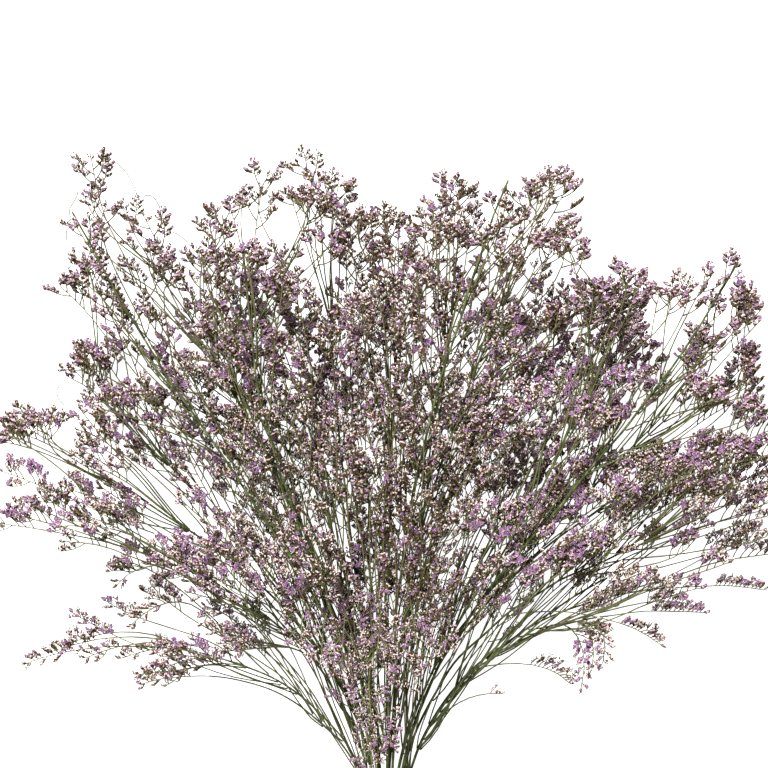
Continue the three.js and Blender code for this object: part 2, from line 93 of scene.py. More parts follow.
# ---- where the finer branches go ----
# sprigs round the edge of the fan: tip x and y, lean, length of the flowering part, whole length
OUTER_SPRIGS = [
    (-257, 329, 35, 30, 120), (-285, 301, -35, 34, 130), (-222, 295, 10, 34, 130), (-200, 276, 55, 32, 120),
    (-308, 257, -70, 44, 140), (-291, 278, -30, 30, 110), (-258, 266, -50, 34, 110),
    (-186, 240, 120, 36, 90), (-305, 177, -70, 50, 130), (-275, 191, -30, 36, 120),
    (-292, 141, -80, 44, 120), (-251, 198, -30, 28, 110), (-213, 192, 10, 30, 130), (-323, 130, 0, 34, 130),
    (-365, 107, -80, 44, 140), (-310, 124, 30, 30, 120), (-294, 132, -40, 40, 130),
    (-296, 109, -75, 46, 140), (-289, 97, -80, 36, 110), (-340, 40, -60, 36, 110), (-365, 29, -80, 50, 140),
    (-331, 56, -40, 40, 120), (-306, 61, -30, 44, 130), (-317, 14, -100, 34, 110), (-308, 1, -88, 40, 150),
    (-258, -17, -85, 52, 150), (-226, -34, -40, 40, 130), (-175, -58, -70, 30, 110),
    (-273, 224, -60, 22, 100), (-258, 214, -20, 26, 110), (-235, 237, 10, 26, 120),
    (-229, 222, -30, 26, 110), (-206, 205, 0, 26, 110), (-137, -110, -160, 44, 110),
    (-184, -85, -30, 40, 120), (-270, 35, -80, 40, 130), (-300, 30, -75, 44, 130), (-275, 15, -85, 40, 130),
    (-232, 160, -10, 30, 110), (-215, 150, 10, 30, 110), (-255, 150, -40, 30, 110),
    (-222, 175, -20, 30, 120), (-60, 300, -10, 34, 120), (-45, 305, 10, 34, 120), (-35, 285, 0, 30, 120),
    (-155, 262, -30, 34, 120), (-150, 240, 0, 34, 120), (215, -30, 60, 40, 120), (-167, 329, -25, 26, 120),
    (-131, 344, 10, 18, 140), (-103, 357, 40, 34, 160), (-139, 299, 65, 24, 90), (-190, 287, -45, 22, 100),
    (-175, 284, -10, 34, 130), (-93, 366, -60, 40, 160), (-63, 360, -5, 34, 130), (-44, 354, 10, 24, 150),
    (-95, 337, -55, 34, 130), (-74, 335, -10, 30, 120), (-154, 282, 5, 36, 130), (-133, 284, 0, 36, 130),
    (-108, 282, 10, 36, 140), (-17, 322, 20, 36, 140), (0, 320, -10, 34, 150), (15, 318, 30, 34, 140),
    (29, 323, -20, 28, 120), (46, 325, 0, 34, 140), (84, 349, 30, 18, 120), (86, 335, 75, 40, 140),
    (68, 335, 10, 32, 130), (49, 312, 0, 36, 140), (82, 312, -30, 26, 110), (103, 314, 40, 24, 110),
    (118, 339, -40, 26, 110), (129, 325, 40, 26, 110), (131, 348, -60, 26, 120), (154, 361, -10, 24, 120),
    (169, 330, 80, 34, 120), (186, 282, 115, 28, 140), (198, 270, 112, 46, 150), (179, 249, 175, 20, 40),
    (125, 291, 60, 30, 120), (95, 291, -40, 32, 120), (163, 276, 120, 30, 110), (173, 249, -10, 36, 140),
    (198, 251, 0, 34, 140), (215, 247, 5, 36, 150), (243, 255, 15, 40, 160), (258, 230, 60, 36, 130),
    (255, 202, 95, 34, 120), (256, 187, 110, 34, 120), (258, 247, -40, 30, 110), (277, 248, 20, 30, 110),
    (350, 252, 95, 26, 100), (359, 236, 30, 34, 120), (363, 213, 80, 34, 120), (334, 225, 60, 26, 100),
    (346, 187, -20, 34, 110), (296, 213, -20, 34, 110), (315, 202, 20, 40, 120), (323, 192, 60, 34, 110),
    (317, 168, 150, 30, 90), (262, 171, 10, 34, 120), (293, 162, -30, 40, 130), (312, 162, 10, 44, 140),
    (342, 158, 20, 40, 120), (334, 135, 60, 40, 120), (363, 132, 50, 34, 120), (338, 103, 40, 34, 110),
    (228, 122, 120, 34, 100), (243, 158, 60, 30, 100), (333, -17, 70, 30, 110), (300, 10, 30, 36, 120),
    (296, -58, 100, 40, 160), (306, -43, 80, 52, 150), (385, 88, 80, 50, 150), (388, 70, 85, 50, 150),
    (392, 52, 85, 50, 150), (350, 80, 78, 46, 140), (345, 60, 80, 46, 140), (330, 95, 70, 40, 130),
    (310, 70, 78, 46, 140), (320, 45, 85, 46, 140), (380, 112, 70, 40, 130), (218, -93, 120, 30, 80),
    (243, -43, 70, 44, 140), (268, -34, 60, 44, 140), (264, 19, 20, 34, 110), (-173, -79, -70, 40, 130),
    (-160, -95, -85, 36, 120), (365, 173, 50, 36, 130), (370, 150, 70, 36, 130), (358, 170, 30, 34, 120),
    (-272, 145, -50, 34, 120), (-262, 150, -20, 34, 120), (-280, 130, -75, 34, 120),
    (-226, -99, -90, 36, 140), (-215, -110, -100, 36, 130), (-27, 238, -10, 40, 140),
    (-18, 232, 10, 40, 140), (-108, 262, -15, 36, 130), (-95, 258, 10, 36, 130), (230, -42, 65, 40, 130),
    (225, -60, 85, 36, 120), (215, 252, 30, 36, 130), (190, 255, -10, 34, 120), (-42, 329, -8, 34, 130),
    (-34, 322, 10, 30, 120), (345, 52, 75, 40, 140), (342, 38, 85, 40, 140), (280, 88, 55, 40, 130),
    (285, 75, 75, 36, 130), (-170, 312, -20, 28, 120), (-158, 310, 5, 28, 110), (-303, 172, -45, 34, 130),
    (-308, 160, -70, 30, 120), (-72, 338, -10, 30, 120), (-60, 334, 15, 28, 120), (124, 332, 5, 30, 120),
    (-296, 95, -60, 34, 130), (150, 276, 20, 34, 120), (138, 300, 5, 28, 120), (-372, 106, -75, 34, 140),
    (-196, -22, -50, 36, 130), (-190, -45, -75, 34, 130), (370, 8, 72, 34, 150), (-302, 78, -60, 34, 130),
    (318, 30, 70, 36, 130), (-265, 28, -65, 36, 130), (252, 160, 20, 34, 130), (172, 242, 22, 36, 130),
    (-300, 314, -30, 30, 120), (-287, 338, -18, 24, 120), (-268, 230, -32, 30, 110),
    (-55, 210, -10, 38, 140), (-290, 276, -38, 30, 120), (240, 132, 40, 36, 130), (372, -10, 85, 36, 150),
    (-370, 98, -78, 30, 140), (-136, 290, -12, 34, 120), (316, 16, 76, 36, 130), (-200, 48, -45, 34, 120),
    (-312, 56, -68, 36, 130), (-190, 230, -18, 34, 120), (-162, -80, -66, 34, 120),
    (-158, -104, -95, 30, 110), (-256, 90, -58, 30, 120), (176, 224, 18, 36, 120), (148, 338, 8, 30, 120),
    (312, 176, 40, 36, 130), (84, 46, 10, 38, 130), (62, 188, 5, 36, 130), (250, -34, 75, 36, 130),
    (204, 136, 30, 40, 130), (198, 128, 10, 36, 130), (236, 130, 35, 36, 130), (-128, 290, 5, 34, 120),
    (-216, 276, -18, 30, 120), (182, 216, 25, 36, 120), (-240, -126, -96, 34, 130), (120, 286, 8, 32, 120),
    (-294, 30, -68, 36, 130), (80, 310, 0, 30, 120), (-92, 344, -14, 28, 120), (-150, -70, -45, 36, 120),
    (-366, 104, -70, 30, 140), (-18, 128, -5, 38, 130), (170, 290, -20, 34, 130), (160, 298, 5, 34, 120),
    (222, 210, 10, 36, 130), (212, 205, -10, 36, 130), (190, 236, 0, 36, 130), (-282, 250, -40, 30, 110),
    (-272, 246, -20, 30, 110), (232, 126, 30, 36, 130), (300, 152, 20, 36, 130), (172, 354, 30, 26, 120),
    (54, 334, 0, 30, 130), (-18, 202, 0, 38, 130), (330, 150, 40, 34, 130), (358, 166, 60, 34, 120),
    (266, 250, 20, 30, 120), (352, 92, 70, 36, 130), (-152, 336, -20, 24, 120), (304, 186, 30, 34, 130),
    (-72, 336, 0, 30, 120), (320, 262, 40, 26, 110), (-54, 208, -10, 36, 130), (358, 84, 75, 36, 130),
    (150, 252, 0, 36, 130), (-236, 232, -10, 30, 120), (-232, 264, -10, 30, 120), (116, 68, 5, 38, 130),
    (30, 272, 0, 36, 130), (-86, 216, -5, 38, 130), (112, 334, 5, 30, 120), (-124, 258, -5, 36, 130),
    (372, 26, 80, 36, 140), (-148, 70, -10, 38, 130), (60, 302, -5, 26, 130), (-274, 74, -62, 30, 120),
    (-176, 286, -5, 28, 120), (-302, 286, -35, 24, 120), (-280, 346, -15, 20, 120), (368, 232, 40, 28, 120),
    (118, 278, 0, 34, 130), (78, 42, -10, 34, 130), (-300, 184, -50, 28, 120), (-276, 122, -55, 28, 120),
    (54, 312, 10, 26, 130), (-224, -6, -45, 34, 130), (240, 180, 0, 30, 130), (368, 80, 75, 36, 130),
    (-92, 290, 10, 28, 130), (-276, 56, -60, 30, 120), (166, 228, 0, 36, 130), (-192, -30, -50, 30, 120),
    (340, -4, 75, 34, 140), (230, 272, 5, 26, 120), (358, 186, 40, 30, 120), (74, 300, 10, 24, 120),
    (-246, 326, -10, 24, 120), (-12, 324, 0, 26, 130), (172, 292, 0, 28, 120),
]
# sprigs that arch over low at the sides, and ones that hang in the middle:
# foot, two places that the path bends towards, tip, height, flowering part
ARCHED_SPRIGS = [
    ((-184, -93), (-213, -90), (-251, -98), (-285, -112), 70, 34),
    ((-125, -118), (-160, -106), (-195, -112), (-228, -132), 50, 40),
    ((-190, -88), (-225, -80), (-262, -84), (-300, -98), 66, 34),
    ((-118, -122), (-145, -114), (-172, -116), (-200, -130), 46, 36),
    ((-184, -93), (-225, -84), (-270, -90), (-316, -106), 68, 40),
    ((170, -80), (190, -64), (204, -84), (198, -122), 80, 44),
    ((-127, -112), (-161, -92), (-208, -98), (-251, -114), 45, 44),
    ((-132, -107), (-175, -82), (-222, -88), (-267, -59), 50, 36),
    ((-137, -93), (-170, -40), (-208, -52), (-238, -77), 80, 50),
    ((-142, -64), (-184, -14), (-232, -14), (-251, -38), 95, 34),
    ((-130, -93), (-137, -60), (-160, -50), (-172, -78), 60, 30),
    ((167, -102), (224, -59), (291, -26), (346, 4), 60, 30),
    ((205, -45), (262, 12), (305, 9), (375, 40), 80, 34),
    ((167, -93), (196, -62), (214, -78), (206, -114), 110, 46),
    ((152, -92), (174, -62), (200, -92), (188, -140), 70, 50),
    ((45, -183), (67, -154), (86, -147), (110, -147), 60, 9),
    ((-5, -60), (-12, -88), (-16, -128), (-13, -166), 118, 62),
    ((4, -95), (4, -125), (-1, -152), (-2, -188), 114, 56),
    ((-14, -80), (-22, -100), (-24, -122), (-20, -150), 104, 44),
    ((-8, -130), (-14, -150), (-16, -175), (-12, -206), 108, 44),
    ((0, -60), (16, -80), (22, -104), (18, -132), 112, 46),
    ((-40, -30), (-52, -50), (-60, -75), (-58, -106), 112, 40),
    ((-25, -20), (-34, -50), (-40, -80), (-40, -118), 118, 58),
    ((15, -20), (24, -50), (30, -80), (32, -112), 118, 58),
    ((35, -20), (48, -45), (56, -70), (54, -100), 112, 56),
    ((-60, -20), (-74, -40), (-80, -62), (-78, -92), 108, 50),
    ((0, -10), (-2, -45), (-6, -80), (-8, -115), 124, 60),
]
# the outline of the dense middle of the fan, where rows of side branches have their tips
FAN_OUTLINE = [
    (-258, 116), (-238, 147), (-218, 150), (-204, 183), (-204, 225), (-190, 268), (-137, 272), (-82, 266),
    (-80, 230), (-37, 230), (-34, 310), (-4, 308), (25, 312), (53, 322), (82, 304), (106, 284),
    (118, 258), (141, 238), (179, 240), (243, 240), (251, 192), (226, 137), (211, 107), (243, 92),
    (300, 90), (392, 97), (392, 33), (300, 25), (243, 12), (205, -55), (167, -55), (110, -45),
    (53, -93), (25, -127), (-30, -127), (-55, -83), (-125, -51), (-175, -41), (-220, -13), (-240, 10),
    (-190, 20), (-160, 40), (-170, 84), (-230, 86), (-262, 92),
]
# places in that outline that stay airy: x, y, radius
AIRY_PLACES = [
    (65, 191, 24), (162, -42, 16), (-238, 175, 20), (97, 17, 5), (32, -117, 5), (72, 272, 5),
    (-46, 15, 5), (194, 106, 5), (63, 238, 5), (114, -4, 5), (13, -112, 5), (210, 93, 5),
    (81, 225, 5), (-110, -50, 5), (236, 87, 5), (-73, -70, 5), (-20, -112, 5), (133, -7, 5),
    (95, -18, 5), (72, 296, 5), (34, -90, 5),
]
# parts of the fan with more or fewer petals than the rest: x, y, radius, how many more; the fewer in the
# middle of the fan are partly painted shade, with older, darker florets and more buds there
BLOOM_AND_SHADE_PLACES = [
    (-70, 40, 130, -0.36), (35, 50, 100, -0.5), (60, -40, 70, -0.3), (245, 185, 140, 0.5),
    (-320, -80, 120, -0.5), (-137, 235, 75, 0.4), (-225, -20, 60, 0.3), (140, 60, 60, 0.25),
    (30, 160, 70, -0.2), (-35, -55, 55, 0.5),
]
# bare threads, as fine as hair, that curl off the sprigs: stem number from 0, path
THREADS = [
    (6, ((-258, 362, 90), (-249, 358, 92), (-239, 345, 90), (-234, 329, 86))),
    (6, ((-227, 330, 84), (-219, 333, 90), (-208, 322, 92), (-213, 300, 88))),
    (5, ((-287, 331, 138), (-283, 324, 142), (-298, 316, 144), (-292, 306, 140))),
    (5, ((-290, 306, 138), (-302, 300, 136), (-296, 296, 134), (-299, 284, 130))),
    (6, ((-201, 295, 88), (-195, 294, 92), (-189, 288, 90), (-184, 282, 86))),
    (4, ((-312, 150, 60), (-318, 143, 64), (-313, 135, 62), (-308, 131, 58))),
]
THREAD_RADIUS, THREAD_END, THREAD_RINGS = 0.6, 0.5, 9

# ---- growing rules ----
SEED = 11
NOISE_OFFSET = Vector((7.3, 2.1, 4.9))
LOWEST_TIP, HIGHEST_TIP, HIGHEST_MIDDLE = 10, 166, 140
HEAD_DEPTH = 8
# the finer branches leave a stem between these shares of its length
LOWEST_FOOT, HIGHEST_FOOT, LOWEST_ARCH_FOOT = 0.14, 0.94, 0.02
# how many places along a stem are tried for a branch's foot
BRANCH_PLACES, ARCH_PLACES = 31, 61
# a branch's cost at a place on a stem: how much its angle weighs, and how many florets weigh as one
ANGLE_COST, FULL_STEM = 1.6, 20000
# rows of side branches in the middle: how far apart, how far out of line, how long, how they spread
TIP_PITCH, TIP_SWAY, TIP_ROWS, ROWS_Y = 27, 0.35, 12, 90
BRANCH_REACH, BRANCH_FLOWERING = (110, 330), (46, 72)
LEAN_GAIN, LEAN_SIDE, LEAN_SWAY = 1.9, 350, 26
# the flowering shares of the top sprays and side sprays, and the longest that part may be
TOP_FLOWERING, SPRAY_FLOWERING, TOP_RADIUS_SHARE = 0.95, 0.45, 0.6
LONGEST_HEAD, LONGEST_EDGE_HEAD = 62, 46
BRANCH_RADIUS, BRANCH_END, SPRIG_END = 0.9, 0.55, 0.6
RING_PITCH, FEWEST_RINGS = 14, 8
# twigs on a branch: how far apart, the longest, the share that flowers; then on the sprigs at the edge,
# and on the finest sprigs, which are low at the sides
TWIG_PITCH, LONGEST_TWIG, TWIG_FLOWERING = 8.5, 30, 0.5
SPRIG_PITCH, LONGEST_SPRIG_TWIG = 7, 22
FINE_PITCH, LONGEST_FINE_TWIG, LOW_SPRIGS, SIDES_FROM = 4, 11, -45, 120
# a twig's length: at the tip of its branch, gained for each millimetre below it, least and most of that
SHORTEST_TWIG, TWIG_GAIN, LEAST_LENGTH, MOST_LENGTH = 5, 0.7, 0.75, 1.12
TWIG_RADIUS, TWIG_END, TWIG_RINGS, LOWEST_TWIG = 0.68, 0.52, 4, 3
TWIG_BEND_OUTWARD, TWIG_BEND_FORWARD, TWIG_TONE_SWAY = 0.66, 0.35, 0.1
TWIG_ANGLE, SPIKE_ANGLE, ANGLE_SWAY, TURN_SWAY = 40, 44, 10, 60
LEAST_BARE, LAST_TWIG = 0.03, 0.97
# twigs lie flatter than round, and on a branch this far over most of them stand on its upper side
FLATNESS, LEANING_OVER = 0.7, 0.55
# one-sided spikes of florets: how far apart, usual and greatest length, bare share at the foot
SPIKE_PITCH, SPIKE_LENGTH, LONGEST_SPIKE, SPIKE_BARE = 3.4, 8.5, 12, 0.25
SPIKE_RADIUS, SPIKE_END, SPIKE_RINGS, SPIKE_SAG = 0.52, 0.45, 2, 0.12
LAST_SPIKE, LAST_SPIKE_SWAY = 0.6, 0.3
# the side of a spike that flowers: shares along its branch, outward, up the bunch and off the table
FLOWERING_ALONG, FLOWERING_OUTWARD, FLOWERING_TOPWARD, FLOWERING_UP = 0.4, 0.4, 0.5, (-0.1, 0.4)
# a spike that points that way itself, with less than this left across it, flowers upward instead
STEEPEST = 0.3
# pairs of florets on a spike: how far apart, forward and upward lean, off the stalk, out of line
PAIR_PITCH, PAIR_FORWARD, PAIR_UPWARD, PAIR_OUTWARD = 1.35, 0.65, 0.8, (0.15, 0.6)
PAIR_WIDTH, PAIR_SWAY, PAIR_TONE_SWAY = 0.4, 0.5, 0.08
# level caps of flowers along the fan's upper edge: from how far out, over what distance, above which Y
CAPS_FROM, CAPS_BY, CAPS_ABOVE = 325, 75, 70
CAP_CENTRE_Y, CAP_WIDTH_SHARE = -100, 0.9
# in a cap: how level the spikes end, the flowering share of branches and twigs, and closer, longer twigs
CAP_LEVEL, CAP_UPWARD, CAP_FLOWERING, CAP_TWIG_FLOWERING, CAP_PITCH = 0.75, 0.8, 0.72, 0.42, 2.1
CAP_TWIG, CAP_TWIG_GAIN, CAP_LEAST_LENGTH, CAP_TWIG_RADIUS, CAP_TWIG_END = 25, 1.15, 0.9, 0.85, 0.6
CAP_DEPTH, CAP_STEM_END = 6, 0.98
# florets: a bud, an open calyx, a calyx with its petals out, and the scale leaf at a joint
BUD, CALYX, OPEN, SCALE = 0, 1, 2, 3
KIND_SIZES = (0.85, 1, 1.05)
FLORET_LENGTH, FLORET_SIZES, LOWEST_FLORET = 4.4, (0.85, 1.15), 2.8
FACING_SWAY, TONE_SWAY = 0.15, 0.3
# on the table a floret faces this far upward, and less with every millimetre of height
TABLE_FACING, TABLE_FADE = 0.6, 6
SCALE_LEAF, SMALL_SCALE_LEAF, SCALE_LEAF_REST, SCALE_LEAF_LIFT = 5, 3, 0.4, 0.3
# florets are smaller low in the middle
LOW_FLORETS, LOW_Y, LOW_SPAN, LOW_SIDE = 0.64, -150, 150, 80
# petals come in small groups in larger patches: where a group begins, and the shares with petals
BLOOM_SIZE, PATCH_SIZE, PATCH_BLOOM, FRESH_BLOOM, CAP_BLOOM = 11, 55, 0.7, 0.8, 0.3
FULL_BLOOM, EDGE_BLOOM = 0.34, 0.22
FULL_PETALS, EDGE_PETALS, FEW_PETALS, CAP_PETALS = 0.88, 0.4, 0.1, 0.62
OLD_BUDS, FRESH_BUDS, MOST_BUDS = 0.6, 0.26, 0.7
# freshness: older upward and to the right from this Y, different from patch to patch, and older and darker in
# the fan's middle as painted shade
AGED_ABOVE_Y, AGED_UPWARD, AGED_RIGHT = 60, 0.0006, 0.0002
PATCH_FRESHNESS, BLOOM_AND_SHADE_FRESHNESS, BRANCH_FRESHNESS = 0.35, 0.6, 0.15
OLDEST, FRESHEST = 0.08, 0.92
# the dried plant has warped, but for the tied part
WAVE_SIZE, WAVE, SETTLED_FROM, SETTLED_BY = 48, 2.2, -290, 70
# cut ends: uneven length, sway and bevel; then the rings below and above the band, and the sides
LONGEST_CUT, CUT_SWAY, CUT_BEVEL, TOP_BEVEL = 6, 0.9, 0.004, 0.3
CUT_RINGS, STEM_RINGS = (5, 0.18, 0.9), 48
STEM_SIDES, TWIG_SIDES = 9, 3
# the band's turns, and how much of its strip of the map each one fills
WRAPS, WRAP_RADIUS, WRAP_STEPS, WRAP_SIDES = 5, 0.98, 64, 8
WRAP_LIFT, WRAP_SWAY, WRAP_LOWEST, WRAP_MAP = 1.5, 0.12, 0.02, 0.94

# ---- finishes ----
# how much of the colour map's width a piece takes, the map's clear edge, and the places along it
TONE_WIDTH, STEM_WIDTH, MAP_EDGE, MAP_BULGE = 0.02, 0.96, 0.01, 0.01
MAP_ENDS, SKIN_ENDS, TOP_END = (0.01, 0.97), (0.03, 0.95), 0.99
# places along a floret and their colours: brown bracts, the papery calyx and its pale rim, then petals
# the old florets' calyx and petals are partly their own colour and partly painted light, lighter for the
# upper part of the fan where they grow
OLD_FLORET = [(0, "#64583a"), (0.3, "#3c2e18"), (0.46, "#5a4232"), (0.57, "#dcc8b2"),
              (0.7, "#643f68"), (1, "#845c8a")]
RIPE_FLORET = [(0, "#5c4e30"), (0.3, "#38221a"), (0.43, "#946c62"), (0.54, "#fff4ea"),
               (0.66, "#c8a6bc"), (0.7, "#69446f"), (1, "#845e89")]
FRESH_FLORET = [(0, "#605234"), (0.3, "#422628"), (0.43, "#a07c80"), (0.54, "#fff1e8"),
                (0.66, "#d2b0c6"), (0.7, "#69446f"), (1, "#855e8a")]
YOUNG_STALK = [(0, "#4c6032"), (0.5, "#5f713f"), (1, "#787a4e")]
AGED_STALK = [(0, "#4e4630"), (0.5, "#62543a"), (1, "#786450")]
STEM_GREENS = [(0.3, "#232c17"), (0.45, "#3f4c2a"), (0.58, "#5d6b3c"), (0.74, "#97996e")]
# the stem's brown flecks, the painted shade in the grooves between its ridges, and the pale pith of the cut
# face
STEM_FLECK, STEM_GROOVE_SHADE, CUT_FACE = "#4a3a22", "#2c3319", "#b7a67a"
RUBBER_TANS, RUBBER_CHALK = [(0.3, "#9a7440"), (0.5, "#b8905a"), (0.72, "#cfae7c")], "#ded0b4"
# pattern scales per metre along x, y and z: streaks 3 mm wide and 60 mm long, flecks 1 mm and 4 mm,
# clouds of 6 mm in the rubber, and its rubbed specks of 0.4 mm
STREAKS, FLECKS, CLOUDS, SPECKS = (330, 16, 330), (900, 260, 900), (180, 180, 180), (2600, 2600, 2600)
RIDGES = 7
# how far from the middle of the map a stem's skin reaches, before its cut faces
SKIN_REACH = 0.475
RIDGE_DEPTH = 0.0001
FLOWER_ROUGHNESS, STALK_ROUGHNESS, STEM_ROUGHNESS, RUBBER_ROUGHNESS = 0.85, 0.6, 0.55, 0.6
PAPER_ROUGHNESS = 0.9
SPECULAR = 0.2
# white paper, warm soft daylight, and a broad lamp at the upper left
PAPER, PAPER_SIZE, PAPER_Z = "#c8c8c8", 6, -0.001
DAYLIGHT, DAYLIGHT_STRENGTH = "#fff6ea", 0.33
LAMP_STRENGTH, LAMP_WIDTH, LAMP_TURN = 6.5, 12, (-32, -18)


def lerp(a, b, share):
    return a + (b - a) * share


def within(value, low=0, high=1):
    return min(max(value, low), high)


def evenly(count, start, end):
    return [lerp(start, end, i / max(count - 1, 1)) for i in range(count)]


def leaning(degrees):
    """The direction that leans this far from +Y towards +X, level with the surface."""
    return Vector((math.sin(math.radians(degrees)), math.cos(math.radians(degrees)), 0))


class Path:
    """A smooth path with three or four control points, or a stretch of one."""

    LENGTH_STEPS = 13
    HEADING_STEP = 0.01

    def __init__(self, *controls, start=0.0, end=1.0, root=None):
        self.controls, self.start, self.end, self.root = controls, start, end, root
        places = [self.at(share) for share in evenly(self.LENGTH_STEPS, 0, 1)]
        self.length = sum((b - a).length for a, b in zip(places, places[1:]))

    def at(self, share):
        t = lerp(self.start, self.end, share)
        row = list(self.controls)
        while len(row) > 1:
            row = [a.lerp(b, t) for a, b in zip(row, row[1:])]
        return row[0]

    def along(self, share):
        near = max(share - self.HEADING_STEP, 0)
        far = min(share + self.HEADING_STEP, 1)
        return (self.at(far) - self.at(near)).normalized()

    def across(self, share):
        """The directions along the path, level across it, and upward across it."""
        along = self.along(share)
        side = along.cross(UP).normalized()
        return along, side, side.cross(along)


def slot_offset(slot):
    return Vector(((slot[0] - (COLUMNS - 1) / 2) * SLOT_PITCH_X, 0, (slot[1] - 1) * SLOT_PITCH_Z))


def stem_axis(tip, lean, slot):
    """A stem's axis above the band: it leaves the band upright and bends out to its tip."""
    foot = Vector((BAND_X, FOOT_Y, BAND_Z)) + slot_offset(slot)
    tip = Vector(tip)
    reach = (tip - foot).length
    rise = tip.z - foot.z
    upright = lerp(UPRIGHT, UPRIGHT_OF_LEANING, min(abs(lean) / 90, 1))
    first = foot + Vector((0, upright * reach, FOOT_RISE * rise))
    last = tip - TIP_PULL * reach * leaning(lean)
    last.z = foot.z + rise
    return Path(foot, first, last, tip)


def side_axis(parent, place, tip, lean, stem_radius):
    """A side branch's axis: it leaves the stem's surface and bends to its tip."""
    along, side, up = parent.across(place)
    centre = parent.at(place)
    away = tip - centre
    outward = (side * away.dot(side) + up * away.dot(up)).normalized()
    foot = centre + outward * (stem_radius + GAP + SPRAY_RADIUS)
    reach = (tip - foot).length
    first = foot + along * SIDE_PULL * reach + outward * SIDE_OUTWARD * reach
    last = tip - SIDE_PULL * reach * leaning(lean)
    return Path(foot, first, last, tip, root=centre)


